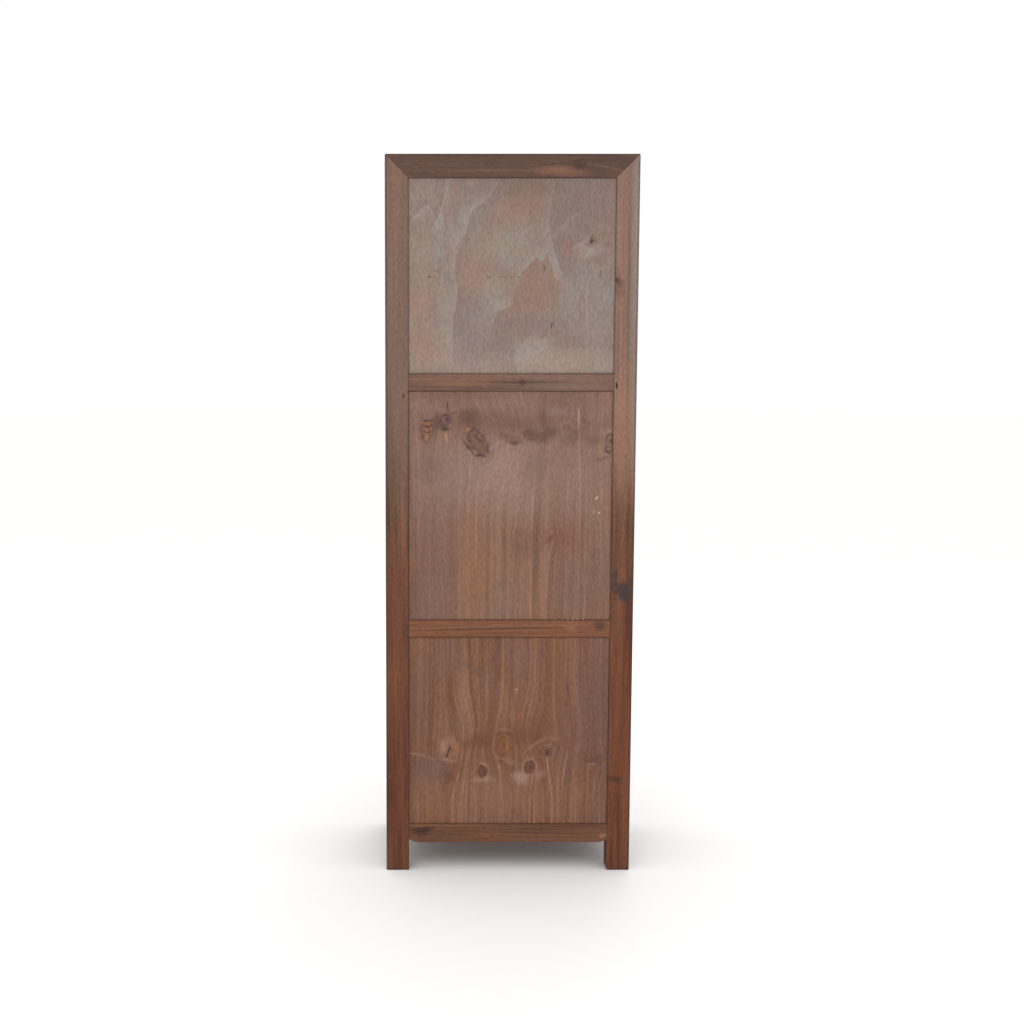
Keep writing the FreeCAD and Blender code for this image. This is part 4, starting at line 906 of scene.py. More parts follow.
# stains, knots and scars of the two back posts: centre, half size, lean, softness, tone, amount
BACK_POST_MARKS = (
    # both feet took the stain redder and more evenly
    ((292, 300), (60, 430), 0, 0.5, "#6B3319", 0.34),
    ((-292, 330), (60, 400), 0, 0.5, "#6F3418", 0.42),
    # broad changes of tone down both posts
    ((-292, 1600), (44, 360), 0, 0.5, "#957A6C", 0.42),
    ((-292, 1180), (40, 150), 0, 0.6, "#98745F", 0.56),
    ((292, 735), (40, 150), 0, 0.7, "#643A28", 0.5),
    ((292, 1450), (40, 450), 0, 0.5, "#846B5D", 0.34),
    # grey sapwood down the outer edge of the post at the right
    ((-322, 1700), (13, 430), 0, 0.8, "#8C8078", 0.75),
    ((-322, 1230), (10, 190), 0, 0.8, "#857369", 0.55),
    # reddish streaks down its upper half
    ((-275, 1430), (2.5, 130), 0, 0.8, "#6A4436", 0.55),
    ((-287, 1500), (3, 210), 0, 0.8, "#7C5042", 0.5),
    ((-283, 1690), (3, 110), -1, 0.8, "#6C483C", 0.55),
    # knot, the dark wood round it, and slot
    ((-273, 1550), (9, 34), 8, 0.8, "#553830", 0.7),
    ((-272, 1561), (7, 9), 20, 0.3, "#2C1B18", 0.92),
    ((-271, 1296), (3, 9), 0, 0.4, "#1F1512", 0.9),
    # old ink stain, smaller ones above and below it, and streaks up the same post
    ((-301, 754), (17, 24), 20, 0.35, "#3A3031", 0.85),
    ((-277, 764), (11, 16), 0, 0.4, "#3E3333", 0.72),
    ((-277, 798), (8, 15), -10, 0.4, "#3E3436", 0.8),
    ((-314, 772), (9, 22), 0, 0.7, "#4B3D38", 0.55),
    ((-290, 742), (20, 8), 8, 0.6, "#463A38", 0.5),
    ((-298, 806), (7, 20), 14, 0.7, "#7E4E35", 0.7),
    ((-296, 850), (30, 40), 0, 0.9, "#6B4532", 0.4),
    ((-268, 903), (6, 16), 0, 0.6, "#4A3C39", 0.6),
    ((-272, 950), (3, 90), 0, 0.8, "#8A5A3F", 0.5),
    ((-284, 1120), (8, 150), 0, 0.9, "#8F6552", 0.45),
    ((-279, 1640), (10, 190), 0, 0.9, "#93705F", 0.5),
    ((-300, 1480), (3, 260), 0, 0.8, "#5C463C", 0.45),
    ((-282, 250), (18, 8), -6, 0.7, "#3F2C26", 0.7),
    # scar on the post at the left, and its darker wood beside a joint
    ((279, 1268), (3, 7), 0, 0.5, "#3A2822", 0.7),
    ((272, 655), (8, 30), 0, 0.8, "#4D3329", 0.5),
)
BACK_RAIL_MARKS = (
    # each rail took the stain differently
    ((0, 1850), (420, 34), 0, 0.05, "#4B372F", 0.68),
    ((-150, 1300), (130, 26), 0, 0.9, "#8A7064", 0.4),
    ((0, 657), (420, 34), 0, 0.05, "#87553B", 0.5),
    ((0, 103), (420, 34), 0, 0.05, "#7A523C", 0.3),
    # top rail: knot with paler wood beside it, and dark and pale seams along it
    ((-170, 1851), (15, 13), 15, 0.7, "#3F2D27", 0.75),
    ((-120, 1838), (55, 9), -4, 0.9, "#8A5F49", 0.6),
    ((-215, 1862), (70, 5), 6, 0.9, "#4B362E", 0.5),
    ((-120, 1856), (70, 2.4), 8, 0.8, "#46332B", 0.5),
    ((60, 1858), (150, 2.2), -1, 0.8, "#4A362E", 0.45),
    ((110, 1846), (130, 2.2), 1, 0.8, "#4A362E", 0.4),
    ((30, 1838), (120, 2.4), 0, 0.8, "#7A5C4D", 0.4),
    ((-240, 1846), (50, 2.4), -12, 0.8, "#7C5F50", 0.4),
    # upper rail: dark heart line and a small pin knot
    ((-20, 1303), (110, 3), 0, 0.9, "#3F2B23", 0.6),
    ((-28, 1302), (7, 9), 10, 0.7, "#4A3027", 0.7),
    ((135, 1300), (80, 6), 0, 0.9, "#93684C", 0.45),
    # middle rail: dark seam along its middle, knot with orange wood
    ((40, 657), (190, 2.5), 1, 0.8, "#3E2A22", 0.6),
    ((-163, 662), (15, 12), 0, 0.8, "#8C5F45", 0.6),
    ((-238, 668), (16, 12), 0, 0.7, "#41302A", 0.65),
    # bottom rail: black streaks at the left end, pale chip at the right end
    ((232, 113), (32, 7), 2, 0.5, "#2C1D18", 0.75),
    ((236, 101), (24, 3), 0, 0.6, "#2A1B16", 0.6),
    ((-60, 103), (150, 2.5), -1, 0.9, "#412C24", 0.5),
    ((-252, 96), (11, 6), 10, 0.6, "#A07452", 0.55),
)


class BOOKCABINET_OT_posts(bpy.types.Operator):
    """Dress the four posts"""
    bl_idname = "book_cabinet.posts"
    bl_label = "Posts"

    def execute(self, context):
        elm = context.scene.cabinet_elm
        finishes = {
            "back": oiled_elm("oiled_elm_back_posts", "Z", elm, pith_mm=(120, 420), seed=2.0,
                              marks=BACK_POST_MARKS, top_sheen_amount=0.42),
            "front": oiled_elm("oiled_elm_front_posts", "Z", elm, pith_mm=(60, -300), seed=5.0),
        }
        for end, finish in finishes.items():
            for hand in HANDS:
                dress(f"{end}_{hand}_post", finish, elm.ease, work=round_feet, amount=FOOT_WEAR)
        return {"FINISHED"}


class BOOKCABINET_OT_rails(bpy.types.Operator):
    """Dress the crown rails, the cross rails and the apron"""
    bl_idname = "book_cabinet.rails"
    bl_label = "Rails"

    def execute(self, context):
        elm = context.scene.cabinet_elm
        back = oiled_elm("oiled_elm_back_rails", "X", elm, pith_mm=(320, -90), seed=1.0,
                         marks=BACK_RAIL_MARKS)
        front = oiled_elm("oiled_elm_front_rails", "X", elm, pith_mm=(-300, 300), seed=4.0)
        side = oiled_elm("oiled_elm_side_rails", "Y", elm, pith_mm=(90, 420), seed=8.0)
        for level in ("top", "upper", "middle"):
            dress(f"back_{level}_rail", back, elm.ease)
        dress("back_bottom_rail", back, elm.ease, work=waver, amount=WAVER)
        for part in ("top_rail", "upper_rail", "drawer_rail", "bottom_rail", "apron"):
            dress(f"front_{part}", front, elm.ease)
        for hand in HANDS:
            for level in ("top", "upper", "middle", "bottom"):
                dress(f"{hand}_{level}_rail", side, elm.ease)
        return {"FINISHED"}


class BOOKCABINET_OT_back_boards(bpy.types.Operator):
    """Dress the three boards of the back"""
    bl_idname = "book_cabinet.back_boards"
    bl_label = "Back boards"

    def execute(self, context):
        board = context.scene.cabinet_board
        finishes = {
            "upper": rotary_board("rotary_cut_plywood_upper", tuple(board.upper), UPPER_BORDERS, UPPER_MARKS,
                                  seed=3.0),
            "middle": knotty_board("knotty_softwood_middle", tuple(board.middle), MIDDLE_SWERVES,
                                   MIDDLE_KNOTS, MIDDLE_MARKS, MIDDLE_SCARS, MIDDLE_STREAKS,
                                   calm_mm=(1140, 1200), lines_mm=9, seed=2.0,
                                   fades=((820, 1080, "#86695D", 0.6),)),
            "lower": knotty_board("knotty_softwood_lower", tuple(board.lower), LOWER_SWERVES,
                                  LOWER_KNOTS, LOWER_MARKS, LOWER_SCARS, LOWER_STREAKS,
                                  calm_mm=(250, 600), lines_mm=12, seed=6.0,
                                  fades=((-10, 0, "#6A3E28", 0.14), (520, 330, "#6A3020", 0.07))),
        }
        inside = plain_board("stained_softwood_inside", "Z", tuple(board.inside), linear("#614738"),
                             seed=11.0)
        for level, finish in finishes.items():
            dress(f"back_{level}_panel", finish, BOARD_EASE, inside)
        return {"FINISHED"}


# pins that hold the back boards: place across and height, browned heads and pale ones
BROWN_PINS = ((212, 1571), (56, 1571), (0, 1571), (-18, 1571), (196, 982), (172, 980), (92, 981), (66, 980))
PALE_PINS = ((-120, 682), (-154, 681), (-166, 682), (-179, 682), (-194, 681))
BACK_PIN_HEIGHT = 0.5 * MM


class BOOKCABINET_OT_back_pins(bpy.types.Operator):
    """Drive the small pins of the back boards"""
    bl_idname = "book_cabinet.back_pins"
    bl_label = "Back pins"

    def execute(self, context):
        brass = context.scene.cabinet_brass
        for name, spots, finish in (
                ("browned_back_pins", BROWN_PINS, pin_brass("browned_brass_pins", "#3E2A20", "#6B4A38")),
                ("pale_back_pins", PALE_PINS, pin_brass("pale_brass_pins", "#A88F7A", "#D6C3AC"))):
            points = [(across * MM, BACK_BOARD, level * MM) for across, level in spots]
            heads = grow(carrier_mesh(name, points), domed_heads(finish),
                         {"Head Radius": brass.back_pin_radius, "Head Height": BACK_PIN_HEIGHT})
            pins = link_piece(name, heads)
            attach(pins, body_of(NODES["back_upper_panel"])[0])
        return {"FINISHED"}


# crossings of the growth rings on the upper board: (True when the line is a height over a
# place across, else a place across over a height), points, side of the darker wood, how bright
# the crest is, depths of the pale and of the darker zone, tone and amount of the darker one
UPPER_BORDERS = (
    # mountain with its notched top
    (True, [(-128, 1548), (-111, 1576), (-89, 1636), (-77, 1610), (-63, 1624), (-44, 1602), (-25, 1584),
            (-11, 1546), (-2, 1504), (36, 1485), (55, 1428), (65, 1340)], 1, 0.42, 46, 150, "#846C61", 0.75),
    # long border down from the top
    (False, [(1335, 152), (1390, 152), (1451, 149), (1498, 142), (1541, 140), (1578, 147), (1625, 145),
             (1662, 131), (1690, 115), (1734, 106), (1755, 80), (1778, 56), (1801, 42), (1820, 36)],
     1, 0.36, 40, 70, "#7C6B67", 0.6),
    # upper right corner, darker, and the tongue below it
    (False, [(1550, -134), (1583, -127), (1615, -116), (1643, -105), (1666, -99), (1681, -93), (1718, -93),
             (1755, -98), (1792, -106), (1820, -108)], 1, 0.42, 30, 110, "#7C6D6B", 0.7),
    # teeth near the upper left corner
    (True, [(170, 1822), (175, 1787), (179, 1759), (186, 1727), (195, 1711), (202, 1732), (212, 1755),
            (228, 1746), (250, 1722), (268, 1704)], -1, 0.36, 26, 40, "#7F7067", 0.6),
    (False, [(1680, 200), (1711, 195), (1735, 184), (1763, 177), (1795, 171), (1830, 167)],
     -1, 0.4, 22, 34, "#7C6C66", 0.45),
    # low arch with paler wood under it
    (True, [(-251, 1386), (-136, 1385), (-102, 1373), (-93, 1410), (-50, 1420), (-17, 1390), (-3, 1366),
            (9, 1330)], 1, 0.12, 10, 60, "#9C9087", 0.34),
    (False, [(1324, -199), (1428, -197), (1522, -194), (1555, -195), (1573, -203), (1592, -224)],
     1, 0.34, 14, 40, "#84746F", 0.4),
    (False, [(1335, 166), (1440, 164), (1520, 168), (1570, 186)], -1, 0.2, 20, 30, "#94877B", 0.4),
)
UPPER_MARKS = (
    # broad clouds of the peeled sheet
    ((-38, 1752), (64, 50), 14, 0.8, "#8F6F61", 0.6),
    ((-25, 1795), (75, 34), 0, 0.9, "#75594D", 0.42),
    ((32, 1648), (60, 30), 0, 0.9, "#8E8272", 0.5),
    ((100, 1590), (50, 60), 0, 0.9, "#93776A", 0.5),
    ((20, 1570), (40, 24), 0, 0.9, "#8E7365", 0.4),
    ((235, 1470), (34, 90), 0, 0.9, "#957A6B", 0.55),
    ((190, 1380), (60, 40), 0, 0.9, "#967C6C", 0.45),
    ((232, 1620), (30, 60), 0, 0.9, "#8C8071", 0.45),
    ((107, 1418), (40, 70), 0, 0.9, "#827271", 0.5),
    ((30, 1400), (26, 60), 0, 0.9, "#7F6E6C", 0.4),
    ((-64, 1540), (50, 50), 0, 0.9, "#8E6E60", 0.5),
    ((-70, 1450), (70, 26), 0, 0.9, "#7C6B69", 0.5),
    ((-170, 1440), (40, 80), 0, 0.9, "#84736F", 0.4),
    ((-225, 1440), (30, 90), 0, 0.9, "#8C8077", 0.4),
    ((-150, 1355), (60, 26), 0, 0.9, "#9B8173", 0.5),
    ((-60, 1370), (36, 30), 0, 0.9, "#9A8F84", 0.5),
    ((-48, 1681), (50, 34), 0, 0.9, "#8C827C", 0.4),
    ((-179, 1765), (70, 50), 0, 0.9, "#826E69", 0.45),
    ((40, 1560), (24, 18), 0, 0.9, "#8E8273", 0.4),
    ((225, 1790), (40, 26), 0, 0.9, "#857467", 0.4),
    ((-170, 1740), (110, 80), 0, 0.7, "#6F5C58", 0.3),
    ((0, 1812), (260, 26), 0, 0.9, "#675851", 0.25),
    ((0, 1340), (280, 34), 0, 0.9, "#A08B7E", 0.3),
    # knots, the swirl beside them and the short dark checks
    ((-134, 1702), (44, 4.5), 41, 0.9, "#988C87", 0.32),
    ((-157, 1643), (26, 26), 0, 0.9, "#866459", 0.55),
    ((-190, 1634), (24, 16), 16, 0.8, "#9C9086", 0.5),
    ((-206, 1618), (26, 9), 10, 0.9, "#826457", 0.45),
    ((-178, 1655), (22, 5), 30, 0.8, "#9F928A", 0.45),
    ((-204, 1660), (14, 8), 24, 0.9, "#785850", 0.6),
    ((-206, 1662), (5, 4), 0, 0.6, "#452F29", 0.85),
    ((-206, 1673), (1.3, 6), 0, 0.5, "#452F29", 0.75),
    ((-85, 1594), (1.3, 6), 0, 0.5, "#52362D", 0.8),
    ((-226, 1579), (1.3, 7), 0, 0.5, "#473029", 0.75),
    ((-104, 1446), (1.3, 8), 0, 0.5, "#473029", 0.8),
    ((-107, 1452), (4, 1.4), -20, 0.5, "#52362D", 0.7),
    ((-110, 1575), (3, 6), 0, 0.5, "#A58E7C", 0.7),
    ((17, 1528), (2, 7), 0, 0.7, "#82503F", 0.6),
    ((15, 1505), (4, 4), 0, 0.7, "#8A5A48", 0.5),
    ((190, 1586), (8, 3), -24, 0.8, "#6A5C4C", 0.5),
    ((212, 1571), (8, 2.5), 0, 0.8, "#6E4C40", 0.5),
    ((56, 1571), (8, 1.6), 4, 0.7, "#6E4C40", 0.5),
    ((22, 1571), (16, 1.2), 0, 0.6, "#6E4C40", 0.5),
    ((120, 1545), (10, 2.2), 40, 0.8, "#7E5A4A", 0.4),
)
# where the grain of the middle board swerves: centre, reach, lean, parting, arching
MIDDLE_SWERVES = (
    ((24, 1165), (95, 100), 0, 0, 48),
    ((216, 1186), (30, 50), 0, 24, 6),
    ((168, 1204), (26, 40), 0, 20, -5),
    ((87, 1150), (42, 80), 20, 38, 8),
    ((-10, 1155), (34, 34), 0, 22, 10),
    ((-42, 1172), (30, 30), 0, 16, -8),
    ((-141, 1190), (28, 36), 0, 20, 7),
    ((-250, 1143), (40, 60), 0, 34, 8),
    ((-102, 894), (26, 34), 0, 14, 6),
    ((-34, 898), (24, 30), 0, 12, -5),
)
# knots: centre, half size, lean, tones of the face, the border and the halo, strength
MIDDLE_KNOTS = (
    ((217, 1178), (16, 25), 0, "#7A5748", "#4E3631", "#5E453C", 0.8),
    ((167, 1203), (15, 16), 0, "#6E5250", "#443033", "#5A433F", 1.0),
    ((86, 1150), (20, 37), 32, "#73564B", "#4A3632", "#59423A", 0.9),
    ((-143, 1186), (12, 10), 0, "#785A4D", "#4A342D", "#957A6A", 0.7),
    ((-259, 1145), (15, 24), 0, "#7E6255", "#48342E", "#9A7F71", 1.0),
    ((-104, 894), (10, 6), 20, "#744632", "#55382B", "#6E4735", 0.45),
    ((-46, 1165), (13, 11), 0, "#6B4C40", "#4E3830", "#5C4136", 0.5),
)
MIDDLE_MARKS = (
    # darker belt through the knots, smoky to their right
    ((0, 1190), (270, 34), -2, 0.9, "#6B4D41", 0.35),
    ((108, 1212), (28, 24), -24, 0.8, "#4E362E", 0.58),
    ((192, 1196), (8, 24), 0, 0.8, "#46312E", 0.6),
    ((24, 1190), (52, 32), -30, 0.45, "#6A4638", 0.45),
    ((0, 1156), (30, 11), -14, 0.5, "#50352B", 0.6),
    ((-68, 1160), (26, 15), -24, 0.55, "#4E352D", 0.6),
    ((-98, 1172), (20, 13), 24, 0.55, "#553B32", 0.5),
    ((-48, 1176), (26, 14), 0, 0.9, "#61463C", 0.5),
    ((-20, 1196), (40, 12), 10, 0.9, "#5F453B", 0.4),
    ((-120, 1232), (24, 10), 0, 0.9, "#8A7168", 0.45),
    ((-88, 1206), (14, 24), 10, 0.9, "#5A4036", 0.5),
    ((-164, 1166), (16, 20), 0, 0.9, "#5F463B", 0.5),
    ((-192, 1196), (9, 30), 0, 0.9, "#634A3F", 0.45),
    ((-222, 1150), (20, 14), 0, 0.9, "#604840", 0.45),
    ((-240, 1108), (24, 5), 12, 0.6, "#5A423A", 0.55),
    # paler half below the large knot, purple and orange bands lower down
    ((10, 1070), (90, 90), 0, 0.9, "#9C8075", 0.5),
    ((150, 1060), (70, 80), 0, 0.9, "#87726A", 0.45),
    ((-180, 1060), (60, 80), 0, 0.9, "#8B7065", 0.35),
    ((180, 810), (70, 130), 0, 0.9, "#775850", 0.5),
    ((100, 800), (36, 150), 0, 0.8, "#8C6246", 0.5),
    ((-20, 760), (60, 90), 0, 0.9, "#8B6550", 0.35),
    ((-170, 800), (30, 130), 0, 0.9, "#74564E", 0.45),
    ((-120, 900), (70, 40), 0, 0.9, "#744C3B", 0.45),
    ((-34, 880), (30, 34), 0, 0.9, "#6A493C", 0.4),
    ((-245, 760), (30, 120), 0, 0.9, "#674B43", 0.4),
    ((160, 1266), (90, 18), 0, 0.9, "#654A3F", 0.4),
    ((-135, 1258), (70, 24), 0, 0.9, "#694C40", 0.4),
    ((212, 1085), (34, 34), 0, 0.9, "#69544B", 0.4),
    ((-60, 1085), (34, 44), 0, 0.9, "#735A4F", 0.45),
)
MIDDLE_SCARS = (
    # whorl at the left, black and orange by turns
    ((216, 1206), (13, 3), 6, 0.6, "#46302A", 0.6),
    ((218, 1198), (10, 3), -4, 0.6, "#99653F", 0.65),
    ((217, 1189), (12, 2.2), 4, 0.5, "#3A2723", 0.7),
    ((217, 1181), (10, 3), 0, 0.6, "#9A6743", 0.6),
    ((218, 1172), (11, 2.2), -6, 0.5, "#3F2B26", 0.65),
    ((219, 1158), (5, 7), 0, 0.6, "#A5744C", 0.6),
    # the next knot: slit above it, lip and pale tear below it
    ((164, 1240), (2.4, 14), 14, 0.6, "#46302A", 0.65),
    ((154, 1222), (16, 2), 20, 0.6, "#4B342D", 0.55),
    ((168, 1183), (13, 2.6), -10, 0.6, "#3A2823", 0.7),
    ((166, 1160), (2, 14), 0, 0.7, "#B48C66", 0.65),
    # large leaning knot: orange lip above it, black crescent below
    ((110, 1180), (10, 4), 20, 0.6, "#A5744F", 0.6),
    ((78, 1111), (12, 3.4), -14, 0.6, "#37262A", 0.75),
    ((108, 1132), (3.6, 24), 36, 0.6, "#46302A", 0.7),
    ((-10, 1147), (12, 5), -8, 0.7, "#46302A", 0.55),
    # pale streaks, scratches and drips of size
    ((-176, 1212), (2.0, 24), 0, 0.7, "#B8957A", 0.6),
    ((-178, 1140), (1.6, 46), 0, 0.8, "#A8866E", 0.45),
    ((-226, 1003), (1.8, 5), 0, 0.4, "#C6B19B", 0.8),
    ((-231, 966), (3, 2.2), 0, 0.4, "#CDBBA7", 0.8),
    ((-216, 965), (2, 7), 10, 0.6, "#B08F74", 0.5),
)
# straight streaks down the middle board: place across, half width, and how much paler or darker
MIDDLE_STREAKS = (
    (252, 2.5, 0.25), (239, 3, 0.4), (228, 2, -0.2), (205, 4, -0.25), (190, 2, 0.2), (163, 5, -0.2),
    (142, 2, -0.35), (132, 4, 0.35), (119, 3, -0.3), (109, 2.2, 0.8), (101, 3, -0.2), (88, 2.4, 0.8),
    (80, 2, -0.3), (68, 3, 0.4), (58, 2, -0.3), (49, 3, 0.35), (35, 2, -0.35), (24, 2, 0.3), (13, 2.4, -0.5),
    (4, 3, 0.4), (-8, 2, -0.3), (-16, 3, 0.4), (-36, 3, -0.25), (-49, 2, 0.3), (-56, 2.2, 0.7),
    (-63, 2.6, -0.8), (-76, 2.4, -0.6), (-95, 6, 0.2), (-128, 3, -0.25), (-150, 4, 0.2), (-172, 2, 0.4),
    (-180, 2.4, 0.75), (-188, 2, -0.6), (-196, 2.4, 0.5), (-205, 2.4, -0.5), (-222, 3, -0.2), (-239, 3, 0.5),
    (-252, 2, 0.2), (-262, 2.4, -0.3),
)
LOWER_STREAKS = (
    (262, 2.4, 0.3), (251, 3, -0.5), (240, 2.4, 0.3), (230, 3, -0.5), (216, 2, 0.2), (205, 5, -0.3),
    (194, 2.4, 0.3), (186, 2, -0.3), (172, 2.4, 0.35), (163, 3, -0.5), (148, 3, 0.7), (137, 3, -0.45),
    (123, 3, 0.5), (113, 2.6, 0.5), (104, 3, -0.5), (92, 3, -0.6), (84, 2.4, 0.5), (74, 2.4, -0.3),
    (60, 3, 0.3), (45, 2.4, -0.3), (28, 3, -0.45), (15, 5, 0.45), (2, 2, -0.3), (-12, 3, -0.6),
    (-20, 2.4, 0.3), (-34, 3, -0.3), (-56, 2.4, 0.6), (-63, 2, -0.4), (-70, 2.4, 0.5), (-84, 3, -0.3),
    (-100, 4, -0.35), (-118, 2.6, 0.55), (-128, 3, -0.55), (-147, 3, 0.5), (-163, 3, -0.55), (-174, 2, 0.25),
    (-185, 3, -0.5), (-201, 3, -0.4), (-211, 2, 0.3), (-222, 3, -0.4), (-242, 2.6, 0.5), (-252, 2, -0.3),
    (-262, 2.4, 0.4),
)
LOWER_SWERVES = (
    ((158, 330), (40, 80), 0, 34, 14),
    ((163, 256), (30, 46), 0, 22, -10),
    ((67, 268), (32, 50), 0, 26, 12),
    ((18, 334), (44, 96), 0, 40, -16),
    ((-54, 282), (34, 50), -10, 28, 14),
    ((-104, 326), (44, 80), 12, 36, -18),
    ((-228, 293), (30, 40), 0, 16, 8),
    ((110, 400), (44, 70), 0, 6, 20),
    ((-40, 410), (44, 70), 0, 6, -20),
    ((-180, 390), (44, 70), 0, 0, 16),
)
LOWER_KNOTS = (
    ((68, 271), (12, 16), 0, "#5C372D", "#432A25", "#93705F", 0.8),
    ((156, 326), (15, 20), 8, "#80583F", "#563A2C", "#96705C", 0.6),
    ((13, 337), (18, 25), 6, "#7E4F37", "#5A3829", "#94694F", 0.7),
    ((-56, 282), (13, 17), -24, "#64402F", "#432B27", "#9F7F74", 0.85),
    ((-100, 324), (16, 14), 16, "#6E4836", "#4E3427", "#8C6A57", 0.6),
    ((162, 257), (13, 13), 0, "#6C4536", "#50352B", "#7D584B", 0.6),
)
LOWER_MARKS = (
    # arched dark belt above the knots, paler rims round them
    ((90, 352), (60, 16), 12, 0.9, "#6A4333", 0.5),
    ((-30, 366), (60, 18), -10, 0.9, "#6A4333", 0.5),
    ((-150, 352), (60, 16), 12, 0.9, "#6E4A3A", 0.4),
    ((158, 330), (22, 28), 0, 0.6, "#94715F", 0.5),
    ((215, 285), (46, 32), 26, 0.9, "#6B544F", 0.55),
    ((67, 292), (12, 4), 0, 0.8, "#947163", 0.5),
    ((66, 248), (22, 8), 0, 0.8, "#A0806F", 0.55),
    ((-4, 296), (18, 7), -24, 0.8, "#8F7164", 0.5),
    ((-34, 252), (22, 14), -22, 0.8, "#A3857A", 0.65),
    ((-84, 262), (16, 10), 26, 0.8, "#9A7B6E", 0.45),
    ((-228, 303), (22, 11), 0, 0.9, "#553F38", 0.6),
    ((118, 560), (24, 8), 8, 0.9, "#5C453B", 0.45),
    ((77, 541), (18, 12), -20, 0.9, "#664738", 0.45),
    ((46, 574), (20, 7), 30, 0.9, "#614539", 0.4),
    ((-156, 496), (5, 24), 14, 0.8, "#5C4338", 0.6),
    ((215, 560), (40, 70), 0, 0.9, "#73554A", 0.45),
    ((-30, 588), (34, 46), 0, 0.9, "#76564E", 0.45),
    ((-215, 500), (50, 150), 0, 0.9, "#71544D", 0.45),
    ((120, 470), (16, 90), 0, 0.8, "#93725B", 0.4),
    ((10, 450), (20, 70), 0, 0.8, "#8E6A54", 0.35),
    ((40, 200), (200, 50), 0, 0.9, "#8D6A55", 0.4),
    ((60, 352), (30, 22), 0, 0.9, "#6B4330", 0.5),
    ((-70, 384), (40, 24), 0, 0.9, "#6E4733", 0.4),
    # darker along both posts
    ((262, 400), (26, 200), 0, 0.9, "#5E3F31", 0.45),
    ((-252, 400), (34, 230), 0, 0.9, "#5F4641", 0.45),
)
LOWER_SCARS = (
    # knot with an open slit: pale to its left and below, orange to its right
    ((172, 338), (7, 14), 10, 0.8, "#9A7B6C", 0.55),
    ((141, 334), (7, 15), -6, 0.8, "#99683F", 0.5),
    ((162, 302), (20, 4), 0, 0.8, "#97786A", 0.45),
    ((160, 326), (2.6, 15), -14, 0.5, "#33231E", 0.9),
    ((244, 319), (22, 3), -8, 0.9, "#957565", 0.45),
    ((206, 309), (18, 3), -24, 0.9, "#957565", 0.4),
    # tall orange knot under a dark arch
    ((23, 373), (9, 2.6), 26, 0.7, "#4E3233", 0.5),
    ((3, 374), (9, 2.6), -22, 0.7, "#4E3233", 0.55),
    ((12, 384), (15, 4), 0, 0.9, "#93735F", 0.4),
    ((14, 318), (10, 3), 0, 0.7, "#5E3A2D", 0.6),
    ((22, 298), (8, 4), 0, 0.6, "#5B3B31", 0.7),
    ((2, 338), (5, 18), 0, 0.8, "#996A48", 0.45),
    # pale arch that ends in a dark crescent
    ((-58, 334), (20, 4.5), 46, 0.9, "#93735F", 0.4),
    ((-84, 354), (15, 4), 24, 0.9, "#93735F", 0.4),
    ((-118, 360), (18, 4.5), -12, 0.9, "#8E6D59", 0.35),
    ((-106, 322), (4.5, 11), -24, 0.6, "#46302A", 0.75),
    ((165, 238), (10, 2.2), 0, 0.6, "#4C342B", 0.6),
    ((-223, 291), (8, 3), 0, 0.8, "#96735A", 0.5),
    ((-19, 492), (4, 3.5), 0, 0.7, "#A08370", 0.6),
)


class BOOKCABINET_OT_side_boards(bpy.types.Operator):
    """Dress the boards of the two sides"""
    bl_idname = "book_cabinet.side_boards"
    bl_label = "Side boards"

    def execute(self, context):
        board = context.scene.cabinet_board
        finish = plain_board("stained_softwood_sides", "Z", tuple(board.side), linear("#573B2F"), seed=3.0)
        for hand in HANDS:
            for level in ("upper", "middle", "lower"):
                dress(f"{hand}_{level}_panel", finish, BOARD_EASE)
        return {"FINISHED"}


class BOOKCABINET_OT_shelves(bpy.types.Operator):
    """Dress the top, the display deck, the shelf and the floor board"""
    bl_idname = "book_cabinet.shelves"
    bl_label = "Shelves"

    def execute(self, context):
        ease = context.scene.cabinet_elm.ease
        finish = plain_board("stained_softwood_shelves", "X", linear("#7D5B4A"), linear("#5C4032"),
                             seed=5.0, hidden_mm=0)
        for node in ("top_panel", "display_deck", "book_shelf", "floor_board"):
            dress(node, finish, ease)
        return {"FINISHED"}


# softwood that was never stained or polished: how rough it is
BARE_ROUGH = (0.62, 0.78)


class BOOKCABINET_OT_inner_rails(bpy.types.Operator):
    """Dress the bearers, the drawer runners and the divider"""
    bl_idname = "book_cabinet.inner_rails"
    bl_label = "Inner rails"

    def execute(self, context):
        elm = context.scene.cabinet_elm
        pale, dark = linear("#9A7A60"), linear("#7A5D48")
        bearers = plain_board("bare_softwood_inside", "X", pale, dark, seed=7.0, hidden_mm=0,
                              rough=BARE_ROUGH)
        runners = plain_board("bare_softwood_runners", "Y", pale, dark, seed=9.0, hidden_mm=0,
                              rough=BARE_ROUGH)
        upright = oiled_elm("oiled_elm_divider", "Z", elm, pith_mm=(-260, 260), seed=6.0)
        for node, finish in (("shelf_bearer", bearers), ("drawer_bearer", bearers),
                             ("drawer_runners", runners), ("drawer_divider", upright)):
            dress(node, finish, elm.ease)
        return {"FINISHED"}


